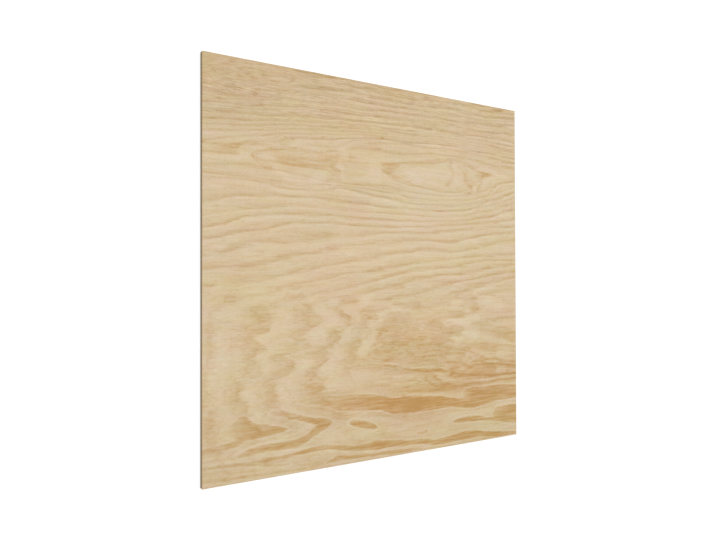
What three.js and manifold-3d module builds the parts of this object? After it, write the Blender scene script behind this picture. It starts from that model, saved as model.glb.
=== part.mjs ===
// A square sheet of five-ply pine plywood, lying flat as it is stored. Millimetres, +Z up.
// The origin is the middle of the underside. +X runs along the grain of the face veneers.
//
// The sheet is one piece of stock: five veneers glued into one solid, then sawn square and
// sanded. Each sawn edge keeps the marks of that lay-up, all round the sheet: a fine score
// along every glue line, and the two crossbands a hair behind the plies that run with X.

import * as THREE from "three";
import { mergeVertices } from "three/addons/utils/BufferGeometryUtils.js";
import Module from "manifold-3d";

// Sawn size
const sheetLength = 1220; // along the face grain
const sheetWidth = 1220; // across the face grain
const cornerRadius = 1.2; // the four upright corners, blunted by handling

// Veneer thicknesses
const outerVeneer = 2.4; // face and back, sanded down after pressing
const crossband = 3.4; // grain across the sheet
const coreVeneer = 3.4; // grain along the sheet again

// Marks of the saw and the sander
const crossbandSetback = 0.2; // how far the crossbands stand behind the sawn edge
const glueLineScore = 0.25; // each veneer's eased arris, which leaves a V at a glue line

// Fineness of the mesh
const cornerSegments = 4;
const snap = 1e-4; // places are rounded to this, so that glued faces meet exactly

const wasm = await Module();
wasm.setup();

// The lay-up from the underside to the face.
const layUp = [
  { thickness: outerVeneer, setback: 0 },
  { thickness: crossband, setback: crossbandSetback },
  { thickness: coreVeneer, setback: 0 },
  { thickness: crossband, setback: crossbandSetback },
  { thickness: outerVeneer, setback: 0 },
];

// A veneer's plan: the sawn rectangle with blunted corners, drawn in by its setback.
function veneerPlan(setback) {
  const halfLength = sheetLength / 2 - setback;
  const halfWidth = sheetWidth / 2 - setback;
  const corners = [
    { x: halfLength - cornerRadius, y: -halfWidth + cornerRadius, from: -Math.PI / 2 },
    { x: halfLength - cornerRadius, y: halfWidth - cornerRadius, from: 0 },
    { x: -halfLength + cornerRadius, y: halfWidth - cornerRadius, from: Math.PI / 2 },
    { x: -halfLength + cornerRadius, y: -halfWidth + cornerRadius, from: Math.PI },
  ];
  const plan = new THREE.Shape();
  for (const { x, y, from } of corners) {
    plan.absarc(x, y, cornerRadius, from, from + Math.PI / 2, false);
  }
  return plan.closePath();
}

// One veneer from its lower face at z up, with a small bevel round both faces.
function veneerGeometry({ thickness, setback }, z) {
  const geometry = new THREE.ExtrudeGeometry(veneerPlan(setback), {
    depth: thickness - 2 * glueLineScore,
    bevelEnabled: true,
    bevelSegments: 1,
    bevelThickness: glueLineScore,
    bevelSize: glueLineScore,
    bevelOffset: -glueLineScore,
    curveSegments: cornerSegments,
  });
  return geometry.translate(0, 0, z + glueLineScore);
}

function toSolid(geometry) {
  const bare = geometry.clone();
  bare.deleteAttribute("normal");
  bare.deleteAttribute("uv");
  const merged = mergeVertices(bare, snap);
  return new wasm.Manifold(
    new wasm.Mesh({
      numProp: 3,
      vertProperties: merged.attributes.position.array.map((v) => Math.round(v / snap) * snap),
      triVerts: new Uint32Array(merged.index.array),
    }),
  );
}

function toGeometry(solid) {
  const { vertProperties, triVerts } = solid.getMesh();
  const geometry = new THREE.BufferGeometry();
  geometry.setAttribute("position", new THREE.BufferAttribute(vertProperties, 3));
  geometry.setIndex(new THREE.BufferAttribute(triVerts, 1));
  geometry.computeVertexNormals();
  return geometry;
}

// Glue-up: the veneers lie on each other face to face and become one body.
function gluedSheet() {
  let z = 0;
  let sheet = null;
  for (const veneer of layUp) {
    const ply = toSolid(veneerGeometry(veneer, z));
    sheet = sheet ? sheet.add(ply) : ply;
    z += veneer.thickness;
  }
  return toGeometry(sheet);
}

const pine = new THREE.MeshStandardMaterial({
  color: "#d2ba95",
  roughness: 0.62,
  metalness: 0,
  flatShading: true,
});

const plywoodSheet = new THREE.Mesh(gluedSheet(), pine);
plywoodSheet.name = "plywood_sheet";

const part = new THREE.Group();
part.add(plywoodSheet);

export default part;
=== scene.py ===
# A square sheet of five-ply pine plywood, lying on its back on a pale floor, seen from above.
# +X runs along the grain of the face. All lengths are in metres unless a note says otherwise.
import bpy
import numpy as np
from functools import partial
from mathutils import Matrix, Vector


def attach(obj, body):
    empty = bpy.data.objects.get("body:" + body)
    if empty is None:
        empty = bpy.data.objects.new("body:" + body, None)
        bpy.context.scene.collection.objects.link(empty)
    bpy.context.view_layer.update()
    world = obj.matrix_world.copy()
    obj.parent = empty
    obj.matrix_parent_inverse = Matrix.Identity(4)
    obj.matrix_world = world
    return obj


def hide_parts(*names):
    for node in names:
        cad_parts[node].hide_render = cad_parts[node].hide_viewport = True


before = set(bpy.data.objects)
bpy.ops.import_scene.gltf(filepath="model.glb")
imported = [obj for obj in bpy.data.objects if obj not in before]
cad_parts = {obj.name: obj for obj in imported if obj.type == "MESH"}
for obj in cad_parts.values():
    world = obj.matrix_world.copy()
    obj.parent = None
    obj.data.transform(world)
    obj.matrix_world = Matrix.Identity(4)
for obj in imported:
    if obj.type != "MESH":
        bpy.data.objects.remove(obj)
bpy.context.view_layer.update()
scene = bpy.context.scene
scene.view_settings.view_transform = "Standard"
print("frame loaded")


camera = {
    "place": (-1.2122, -0.0398, 1.7585),
    "aim": (-0.1281, -0.0156, 0.015),
    "top": (0.0021, 1.0, 0.0013),  # what points up in the view
    "lens": 32.56,  # mm
    "sensor": 36.0,  # width, mm
    "shift": (0.012, 0.0078),  # of the lens, as shares of the sensor's width
    "seesTo": 100.0,
}


def addCamera(name, c):
    # columns of the turn: right = forward x top, up = right x forward, and minus forward
    data = bpy.data.cameras.new(name)
    data.lens, data.sensor_width = c["lens"], c["sensor"]
    data.shift_x, data.shift_y = c["shift"]
    data.clip_end = c["seesTo"]
    forward = (Vector(c["aim"]) - Vector(c["place"])).normalized()
    right = forward.cross(Vector(c["top"])).normalized()
    up = right.cross(forward)
    turn = Matrix((right, up, -forward)).transposed().to_4x4()
    obj = bpy.data.objects.new(name, data)
    obj.matrix_world = Matrix.Translation(c["place"]) @ turn
    scene.collection.objects.link(obj)
    scene.camera = obj


def addNode(tree, kind, inputs=None, **settings):
    # inputs take a socket, which is linked, or a value, which is set
    node = tree.nodes.new("ShaderNode" + kind)
    for name, value in settings.items():
        setattr(node, name, value)
    for name, value in (inputs or {}).items():
        if isinstance(value, bpy.types.NodeSocket):
            tree.links.new(value, node.inputs[name])
        else:
            node.inputs[name].default_value = value
    return node


def maths(tree, operation, *values, clamp=False):
    # one sum on sockets or numbers; clamp keeps the result between 0 and 1
    node = addNode(tree, "Math", operation=operation, use_clamp=clamp)
    for socket, value in zip(node.inputs, values):
        if isinstance(value, bpy.types.NodeSocket):
            tree.links.new(value, socket)
        else:
            socket.default_value = value
    return node.outputs[0]


def mathsFor(tree):
    # plus(a, b), minus(a, b), times(a, b), timesPlus(a, b, c), which is a x b + c, and larger(a, b)
    kinds = "ADD", "SUBTRACT", "MULTIPLY", "MULTIPLY_ADD", "MAXIMUM"
    return [partial(maths, tree, kind) for kind in kinds]


def srgb(red, green, blue):
    # a colour written 0 to 255 as a screen shows it, made linear by the usual sRGB curve
    parts = np.array([red, green, blue]) / 255
    linear = np.where(parts <= 0.04045, parts / 12.92, ((parts + 0.055) / 1.055) ** 2.4)
    return (*linear.tolist(), 1.0)


def newMaterial(name):
    material = bpy.data.materials.new(name)
    material.use_nodes = True
    material.node_tree.nodes.clear()
    return material, material.node_tree


def seenDirectly(tree):
    # 1 for camera rays and for rays by mirror or glass, 0 for light that falls on the object
    path = addNode(tree, "LightPath")
    seen = maths(tree, "ADD", path.outputs["Is Camera Ray"], path.outputs["Is Glossy Ray"])
    return maths(tree, "ADD", seen, path.outputs["Is Transmission Ray"], clamp=True)


studio = {
    "floorSize": 24.0,
    "floorGrey": 0.35,  # what the floor sends back as light
    "floorLift": 0.76,  # added to what is seen of the floor, so that it shows white
    "skyLight": 0.48,  # even light from all round
    "lampPower": 190.0,  # W
    "lampSize": 5.0,
    "lampPlace": (0.9, 0.4, 5.6),
}


def addStudio(s):
    # a pale floor that shows white to the eye but lights the sheet only softly, white air round it
    # and one broad lamp overhead
    floorMaterial, tree = newMaterial("floorPaint")
    diffuse = addNode(tree, "BsdfDiffuse", {"Color": (*[s["floorGrey"]] * 3, 1)})
    lift = maths(tree, "MULTIPLY", seenDirectly(tree), s["floorLift"])
    lift = addNode(tree, "Emission", {"Strength": lift})
    both = addNode(tree, "AddShader")
    tree.links.new(diffuse.outputs[0], both.inputs[0])
    tree.links.new(lift.outputs[0], both.inputs[1])
    addNode(tree, "OutputMaterial", {"Surface": both.outputs[0]})
    half = s["floorSize"] / 2
    corners = [(-half, -half, 0), (half, -half, 0), (half, half, 0), (-half, half, 0)]
    mesh = bpy.data.meshes.new("floor")
    mesh.from_pydata(corners, [], [(0, 1, 2, 3)])
    mesh.materials.append(floorMaterial)
    floor = bpy.data.objects.new("floor", mesh)
    scene.collection.objects.link(floor)

    world = bpy.data.worlds.new("studioAir")
    world.use_nodes = True
    tree = world.node_tree
    tree.nodes.clear()
    lit = addNode(tree, "Background", {"Strength": s["skyLight"]})
    white = addNode(tree, "Background", {"Strength": 1.0})
    for background in (lit, white):
        background.inputs["Color"].default_value = (1, 1, 1, 1)
    mix = addNode(tree, "MixShader", {"Fac": seenDirectly(tree)})
    tree.links.new(lit.outputs[0], mix.inputs[1])
    tree.links.new(white.outputs[0], mix.inputs[2])
    addNode(tree, "OutputWorld", {"Surface": mix.outputs[0]})
    scene.world = world

    lamp = bpy.data.lights.new("softLamp", "AREA")
    lamp.shape, lamp.size, lamp.energy = "DISK", s["lampSize"], s["lampPower"]
    lampObject = bpy.data.objects.new("softLamp", lamp)
    place = Vector(s["lampPlace"])
    turn = place.to_track_quat("Z", "Y").to_matrix().to_4x4()  # it shines at the middle of the floor
    lampObject.matrix_world = Matrix.Translation(place) @ turn
    scene.collection.objects.link(lampObject)


addCamera("camera", camera)
addStudio(studio)
print("camera, floor and light set")


sheet = {
    "halfSide": 0.61,
    "cornerRadius": 0.0012,  # of the four upright corners
    "plies": (0.0024, 0.0034, 0.0034, 0.0034, 0.0024),  # from the back to the face
    "crossbandSetback": 0.0002,  # the second and fourth plies stand this far behind the edge
    "score": 0.00025,  # eased arris of each ply
    "cellsAlong": 132,
    "cellsAcross": 300,
}

# How the drawn figure is read, in mm. A reach is how far from a mark's outline it still counts.
figure = {
    "side": 1220,  # twice halfSide
    "sectionEasing": 11,  # window that rounds off the corners of a section's line
    "bandReach": 14.0,
    "bandBlend": 4.0,  # near one another, bands mix their strengths over about this depth
    "bandEasing": (25, 11),  # windows that round off a band's middle line and its width
    "patchReach": 12.0,
    "lineReach": 9.0,
    "lineFade": (5.0, 8.0),  # a fine line's strength fades between these distances from it
    "markReach": 3,  # half widths at which a soft mark ends
    "grainReach": 20,
    "grainLine": (4.2, 7.5, 0.55),  # half width, offset of the pale side, and the pale side's share
    "flameEnds": (90, 110),  # how far the outer flames reach past the first and the last edge
}

# The growth of the tree that the peeled face cuts through, counted in rings. Each section is a line
# across the sheet, this many mm along the grain from the left end: (mm from the far side, rings).
# The sections are evenly spaced.
growthSections = {
    0: [(0, -3.9), (22, -3), (48, -2), (72, -1), (94, 0), (116, 1), (141, 2), (168, 3), (189, 4), (206, 5),
        (222, 6), (257, 7), (285, 8), (316, 9), (340, 10), (352, 11), (427, 12), (462, 13), (493, 14),
        (526, 15), (574, 16), (616, 17), (664, 18), (740, 18.6), (800, 18.75), (950, 18.8), (1220, 18.3)],
    152: [(0, -3.6), (14, -3), (38, -2), (64, -1), (86, 0), (111, 1), (133, 2), (161, 3), (177, 4), (192, 5),
        (205, 6), (222, 7), (246, 8), (252, 8.15), (268, 8), (275, 7.7), (284, 8), (300, 8.6), (311, 9),
        (343, 10), (351, 11), (396, 12), (435, 13), (458, 14), (501, 15), (538, 16), (600, 17), (651, 18),
        (690, 19), (735, 19.85), (755, 19.6), (790, 19.9), (808, 20.08), (845, 19.75), (870, 19.92),
        (900, 19.9), (930, 20.2), (960, 20.25), (1000, 20.2), (1220, 19.3)],
    305: [(0, -3.4), (9, -3), (31, -2), (53, -1), (75, 0), (98, 1), (119, 2), (147, 3), (160, 4), (172, 5),
        (185, 6), (199, 7), (212, 8), (224, 8.2), (238, 8), (246, 7.6), (268, 7.5), (290, 7.7), (299, 8),
        (310, 8.5), (322, 9), (340, 9.4), (358, 10), (366, 11), (392, 12), (417, 13), (441, 14), (471, 15),
        (495, 15.5), (534, 16), (566, 17), (622, 18), (665, 19), (694, 20), (735, 20.7), (765, 20.45),
        (790, 20.75), (812, 20.85), (840, 21.1), (862, 21.35), (893, 21.15), (930, 21.45), (960, 21.6),
        (1000, 21.6), (1030, 21.3), (1220, 20.3)],
    457: [(0, -3.3), (5, -3), (23, -2), (43, -1), (67, 0), (91, 1), (114, 2), (134, 3), (147, 4), (159, 5),
        (171, 6), (183, 7), (194, 8), (212, 8.5), (232, 8.1), (262, 8.1), (300, 8.03), (325, 8.1), (338, 9),
        (344, 10), (350, 11), (397, 12), (420, 13), (445, 14), (466, 15), (508, 16), (536, 17), (588, 18),
        (628, 19), (668, 20), (696, 21), (705, 21.5), (728, 22.05), (760, 21.6), (790, 21.85), (810, 22),
        (840, 22.25), (870, 22.5), (900, 22.75), (935, 22.3), (960, 22.25), (1000, 22.2), (1220, 21.3)],
    610: [(0, -3.3), (5, -3), (25, -2), (44, -1), (66, 0), (89, 1), (108, 2), (127, 3), (139, 4), (149, 5),
        (159, 6), (168, 7), (177, 8), (190, 9), (198, 9.1), (206, 9), (220, 8.75), (240, 8.15), (258, 8.04),
        (270, 7.97), (284, 8.04), (310, 8.3), (337, 9), (352, 10), (370, 11), (404, 12), (423, 13), (447, 14),
        (467, 15), (488, 16), (526, 17), (561, 18), (611, 19), (640, 20), (670, 21), (706, 22), (737, 23),
        (770, 23.6), (800, 23.85), (850, 23.85), (880, 23.7), (905, 23.2), (930, 22.6), (960, 22.25),
        (1220, 22.2)],
    762: [(0, -3.3), (7, -3), (27, -2), (48, -1), (65, 0), (83, 1), (106, 2), (123, 3), (136, 4), (149, 5),
        (157, 6), (165, 7), (174, 8), (187, 9), (196, 9.2), (205, 9), (225, 8.3), (236, 8), (243, 7.75),
        (252, 7.35), (310, 7.3), (320, 7.7), (328, 8), (350, 9), (366, 10), (384, 11), (402, 12), (423, 13),
        (442, 14), (460, 15), (481, 16), (507, 17), (543, 18), (583, 19), (610, 20), (640, 21), (685, 22),
        (736, 23), (770, 23.4), (800, 23.5), (890, 23.5), (912, 23.45), (935, 23.1), (943, 22.95),
        (965, 22.4), (985, 22.3), (1220, 22.3)],
    915: [(0, -3.1), (2, -3), (19, -2), (38, -1), (59, 0), (81, 1), (100, 2), (123, 3), (134, 4), (144, 5),
        (152, 6), (160, 7), (168, 8), (181, 9), (190, 9.3), (200, 9), (214, 8), (221, 7.75), (230, 7.35),
        (312, 7.3), (325, 7.7), (334, 8), (346, 9), (363, 10), (379, 11), (398, 12), (418, 13), (434, 14),
        (449, 15), (468, 16), (506, 17), (543, 18), (568, 19), (600, 20), (622, 21), (650, 22), (703, 23),
        (735, 23.2), (760, 23.7), (774, 24), (790, 24.3), (812, 24), (828, 23.95), (845, 24.12), (862, 24.1),
        (885, 23.8), (930, 23.6), (950, 23.75), (963, 23.9), (975, 23.85), (990, 23.3), (1008, 23),
        (1018, 22.8), (1040, 22.3), (1220, 22.3)],
    1067: [(0, -3.3), (6, -3), (24, -2), (44, -1), (58, 0), (74, 1), (103, 2), (120, 3), (135, 4), (148, 5),
        (158, 6), (168, 7), (179, 8), (191, 9), (197, 9.15), (206, 9), (230, 8.4), (245, 8), (258, 7.75),
        (268, 8), (290, 8.2), (313, 9), (338, 10), (355, 11), (372, 12), (392, 13), (416, 14), (436, 15),
        (457, 16), (480, 17), (514, 18), (556, 19), (572, 20), (600, 21), (628, 22), (655, 23), (675, 23.3),
        (690, 23.8), (698, 24), (715, 24.15), (765, 24.2), (830, 24.3), (900, 24.35), (918, 24.7), (932, 25),
        (941, 24.85), (960, 24.3), (972, 24), (983, 23.85), (1000, 23.2), (1006, 23), (1012, 22.8),
        (1024, 22.3), (1220, 22.3)],
    1220: [(0, -3.1), (2, -3), (18, -2), (35, -1), (47, 0), (60, 1), (94, 2), (124, 3), (138, 4), (152, 5),
        (163, 6), (173, 7), (184, 8), (203, 9), (207, 9.1), (212, 9), (235, 8.4), (252, 8.35), (272, 9),
        (289, 10), (312, 11), (329, 12), (352, 13), (378, 14), (412, 15), (439, 16), (463, 17), (492, 18),
        (547, 19), (566, 20), (583, 21), (613, 22), (632, 23), (662, 24), (700, 24.2), (800, 24.3),
        (900, 24.4), (935, 24.7), (952, 25), (965, 24.8), (975, 24.2), (981, 24), (990, 23.8), (1000, 23),
        (1004, 22.9), (1020, 22.3), (1220, 22.3)],
}

# Humps and hollows of that growth: (along, across, half length, half width, all in mm, rings, slant).
growthMounds = {
    "bridge left of the small eye": (132, 269, 20, 17, 0.5, 0),
    "small eye": (190, 276, 32, 16, -0.5, 0),
    "right end of the small eye": (425, 300, 22, 36, -0.1, 0),
}

# Dark wood where the knife ran along a ring, as bands drawn from end to end over the rings:
# (along, across, half width, all in mm, strength).
darkBands = {
    "amber band": [
        (300, 1010, 6, 0.04), (360, 1010, 12, 0.06), (400, 1014, 16, 0.11), (440, 1027, 23, 0.28),
        (500, 1030, 25, 0.4), (550, 1034, 25, 0.44), (600, 1040, 24, 0.44), (650, 1057, 27, 0.62),
        (700, 1059, 29, 0.69), (750, 1060, 28, 0.69), (800, 1061, 25, 0.62), (850, 1062, 22, 0.55),
        (880, 1066, 17, 0.5), (905, 1070, 15, 0.5), (940, 1075, 14, 0.48), (970, 1079, 16, 0.48),
        (1010, 1089, 9, 0.42)],
    "second amber band": [
        (955, 1040, 4, 0.06), (968, 1046, 18, 0.16), (982, 1059, 33, 0.3), (1000, 1060, 35, 0.42),
        (1020, 1060, 35, 0.5), (1060, 1058, 34, 0.5), (1100, 1054, 31, 0.48), (1125, 1053, 28, 0.46),
        (1170, 1055, 26, 0.51), (1220, 1058, 23, 0.47)],
    "first arrowhead": [
        (60, 1072, 6, 0.03), (84, 1070, 18, 0.08), (108, 1064, 30, 0.18), (130, 1066, 34, 0.25),
        (152, 1077, 26, 0.31), (200, 1081, 16, 0.42), (250, 1084, 7, 0.42), (268, 1084, 1, 0.4)],
    "lower leg of the first arrowhead": [
        (0, 1117, 6, 0.3), (50, 1114, 7, 0.32), (100, 1106, 9, 0.38), (125, 1100, 6, 0.4)],
    "second arrowhead": [
        (262, 1055, 2, 0.37), (300, 1056, 8, 0.46), (350, 1069, 10, 0.52), (385, 1076, 13, 0.51),
        (410, 1080, 8, 0.48), (419, 1080, 1, 0.46)],
    "lower leg of the second arrowhead": [
        (100, 1144, 3, 0.18), (150, 1136, 9, 0.26), (200, 1131, 10, 0.37), (250, 1133, 12, 0.43),
        (300, 1131, 13, 0.42), (330, 1121, 10, 0.38), (350, 1106, 13, 0.4), (375, 1094, 16, 0.45),
        (400, 1085, 13, 0.49), (412, 1082, 6, 0.45)],
    "slanted lens": [
        (481, 1091, 3, 0.4), (496, 1093, 12, 0.5), (540, 1103, 11, 0.54), (575, 1114, 9, 0.52),
        (592, 1120, 1, 0.45)],
    "thin lens": [
        (904, 1137, 1, 0.38), (930, 1136, 9, 0.46), (980, 1134, 9, 0.48), (1040, 1138, 7, 0.42),
        (1070, 1145, 6, 0.34), (1105, 1149, 6, 0.33)],
    "right block": [
        (1098, 1124, 2, 0.12), (1112, 1132, 23, 0.25), (1150, 1135, 29, 0.34), (1190, 1139, 33, 0.4),
        (1220, 1141, 35, 0.4)],
    "near line": [
        (150, 1166, 2, 0.21), (200, 1167, 5, 0.36), (250, 1168, 5, 0.36), (300, 1163, 6, 0.39),
        (350, 1157, 6, 0.39), (400, 1155, 7, 0.43), (450, 1165, 7, 0.43), (500, 1175, 7, 0.43),
        (550, 1175, 11, 0.44), (585, 1174, 16, 0.46), (630, 1177, 12, 0.46), (680, 1181, 9, 0.45),
        (720, 1185, 7, 0.46), (770, 1186, 9, 0.46), (820, 1197, 8, 0.48), (870, 1198, 9, 0.5),
        (920, 1194, 11, 0.53), (970, 1190, 13, 0.54), (1020, 1191, 12, 0.52), (1060, 1197, 10, 0.52),
        (1100, 1203, 10, 0.54), (1150, 1208, 7, 0.43), (1220, 1213, 5, 0.34)],
    "nearer line": [
        (395, 1205, 3, 0.2), (430, 1197, 8, 0.35), (500, 1201, 6, 0.4), (600, 1205, 6, 0.4),
        (680, 1209, 5, 0.35), (760, 1213, 5, 0.28), (800, 1216, 3, 0.2)],
    "faint near line": [
        (20, 1165, 3, 0.15), (100, 1168, 4, 0.2), (180, 1180, 4, 0.2), (270, 1191, 3, 0.15)],
    "nearest line": [
        (0, 1200, 4, 0.22), (150, 1207, 4, 0.22), (330, 1211, 3, 0.18)],
    "comma": [
        (748, 1157, 1, 0.25), (775, 1158, 4, 0.32), (793, 1153, 4, 0.32), (798, 1150, 1, 0.3)],
    "streaks above the second arrowhead": [
        (205, 1032, 4, 0.1), (240, 1034, 9, 0.18), (262, 1042, 9, 0.22), (290, 1050, 5, 0.2)],
    "streak below the curly grain": [
        (613, 919, 2, 0.15), (650, 924, 3, 0.2), (700, 934, 3, 0.14), (740, 943, 4, 0.17),
        (790, 950, 7, 0.3), (830, 952, 8, 0.42), (868, 957, 7, 0.36), (896, 961, 3, 0.1)],
}

# More mounds, laid out as growthMounds are. The first ones say how strongly the dark wood of each
# ring is coloured.
darknessMounds = {
    "everywhere": 0.4,
    "far left": (60, 30, 330, 85, -0.22, 0),
    "far side": (600, 80, 1500, 110, -0.13, 0),
    "far and middle lines": (600, 400, 3000, 250, -0.15, 0),
    "above the flames": (600, 700, 3000, 60, -0.12, 0),
    "flames and curly grain": (600, 850, 3000, 130, -0.16, 0),
    "near side": (600, 1240, 3000, 190, -0.36, 0),
}
# how dark the wood is as a whole; the far side and far left mounds are painted shade, darker towards the far
# edge and the far left corner
toneMounds = {
    "everywhere": 0.1,
    # painted shade: these two mounds darken the far edge and the far left corner
    "far side": (600, -40, 1600, 200, 0.17, 0),
    "far left": (60, 60, 200, 130, 0.12, 0),
    "between the eyes": (490, 262, 75, 32, 0.1, 0),
    "inside the big eye": (970, 268, 55, 42, -0.1, 0),
    "left end": (-10, 870, 34, 150, -0.24, 0),
    "middle of the left end": (15, 650, 70, 13, -0.2, 0),
    "middle of the right end": (1205, 666, 45, 9, -0.22, 0),
    "above the flames": (680, 672, 300, 50, 0.06, 0),
    "above the curly grain": (725, 745, 100, 45, 0.09, 0),
    "pale wood beside the curly grain": (930, 900, 55, 40, -0.12, 0.3),
    "right of the middle": (850, 880, 380, 190, 0.04, 0),
    "far right": (900, 60, 240, 50, -0.08, 0),
    "far middle": (545, 95, 120, 70, -0.05, 0),
    "curly grain": (740, 860, 210, 120, 0.09, 0),
    "far part of the curly grain": (700, 770, 120, 24, 0.05, 0),
    "middle of the curly grain": (790, 848, 110, 22, -0.05, 0),
    "left of the curly grain": (550, 915, 70, 50, 0.11, 0),
    "right of the curly grain": (1040, 790, 90, 50, 0.07, 0),
    "near part of the curly grain": (720, 910, 130, 60, 0.06, 0),
    "above the amber band": (800, 995, 420, 45, 0.14, 0),
    "near right": (1060, 950, 380, 110, 0.15, 0),
    "right end": (1240, 760, 260, 260, 0.12, 0),
    "near side": (600, 1260, 3000, 230, 0.24, 0),
    "round the thin lens": (950, 1160, 420, 70, 0.07, 0),
}
# how much the rings wander
wanderMounds = {
    "everywhere": 0.45,
    "far side": (500, 60, 1200, 100, 0.35, 0),
    "flames": (230, 830, 300, 170, 0.3, 0),
}
# how soft and jagged the dark ends of the rings are
softnessMounds = {
    "everywhere": 0.05,
    "flames": (230, 840, 330, 175, 0.85, 0),
    "far side": (600, 10, 1600, 90, 0.25, 0),
}
# where the grain is curly
curlMounds = {
    "curly grain": (735, 840, 150, 110, 0.35, 0),
    "far left corner": (100, 40, 200, 60, 0.5, 0),
}
# how strongly the flames show
flameMounds = {
    "flames": (235, 850, 370, 165, 1.0, 0),
    "far side of them": (300, 665, 600, 40, -0.6, 0),
    "near side of them": (300, 1045, 600, 38, -0.8, 0),
}
# share of the fine lines' darkness that leaves the hue as it is; below 0 they are more colourful
greyMounds = {
    "everywhere": 0.08,
    "far side": (600, 80, 1600, 120, 0.32, 0),
    "eyes": (600, 275, 1600, 45, -0.1, 0),
    "under the eyes": (830, 365, 480, 40, 0.3, 0),
}
# how warm the colour is: redder and yellower above 0, cooler below it
warmthMounds = {
    "left": (300, 650, 420, 340, 1.3, 0),
    "amber band": (680, 1045, 270, 40, 2.6, 0),
    "right end": (1190, 420, 240, 420, -0.9, 0),
    "near side": (600, 1170, 2000, 90, -1.6, 0),
    "far side": (580, 110, 320, 120, 1.6, 0),
    "left of the near half": (110, 960, 150, 200, 0.7, 0),
    "near right": (1120, 1100, 170, 120, -2.0, 0),
}
# where minor rings and short dark streaks crowd the wood
busyMounds = {
    "everywhere": 0.12,
    "far side": (600, 70, 1600, 120, 0.55, 0),
    "far left": (110, 90, 240, 80, 0.3, 0),
    "curly grain": (750, 850, 220, 120, 0.34, 0),
    "right of the curly grain": (1010, 930, 330, 80, 0.3, 0.05),
    "above the amber band": (900, 992, 420, 34, 0.35, 0),
    "near side": (600, 1180, 3000, 100, -0.12, 0),
}

# The flames, as the knife cut them: each line is where the dark end of one ring stops and the pale
# start of the next begins, (across, along) in mm, from the far side towards the near one.
flameEdges = [
    [(690, 20), (760, 26), (820, 30), (880, 22), (930, 10), (960, 22), (985, 12), (1000, 30), (1060, 40)],
    [(690, 118), (712, 186), (735, 205), (752, 215), (772, 212), (788, 204), (797, 184), (804, 164),
     (811, 150), (822, 172), (832, 190), (845, 202), (850, 194), (856, 168), (864, 163), (875, 172),
     (893, 184), (912, 184), (925, 176), (931, 116), (942, 113), (955, 112), (970, 118), (984, 115),
     (1003, 118), (1017, 132), (1060, 160)],
    [(690, 322), (712, 326), (720, 345), (735, 362), (750, 380), (768, 388), (780, 374), (788, 350),
     (800, 335), (811, 322), (818, 326), (830, 338), (848, 346), (858, 300), (864, 246), (875, 262),
     (885, 286), (896, 294), (908, 284), (927, 262), (934, 216), (950, 212), (964, 226), (974, 238),
     (990, 226), (1004, 216), (1011, 246), (1022, 268), (1060, 300)],
    [(690, 500), (705, 514), (717, 508), (725, 470), (731, 450), (746, 464), (752, 490), (768, 512),
     (784, 506), (791, 476), (797, 458), (815, 464), (828, 446), (840, 440), (848, 404), (858, 392),
     (867, 432), (874, 424), (884, 408), (898, 392), (910, 376), (925, 358), (935, 372), (948, 404),
     (956, 390), (970, 392), (982, 386), (990, 352), (1060, 360)],
    [(690, 560), (724, 560), (740, 585), (756, 598), (770, 590), (790, 556), (806, 548), (822, 552),
     (836, 530), (846, 528), (860, 514), (873, 502), (884, 530), (900, 560), (915, 520), (926, 480),
     (950, 500), (1060, 520)],
    [(690, 660), (730, 668), (760, 640), (800, 612), (830, 606), (860, 592), (880, 612), (900, 660),
     (920, 640), (950, 620), (1060, 640)],
]

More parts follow.
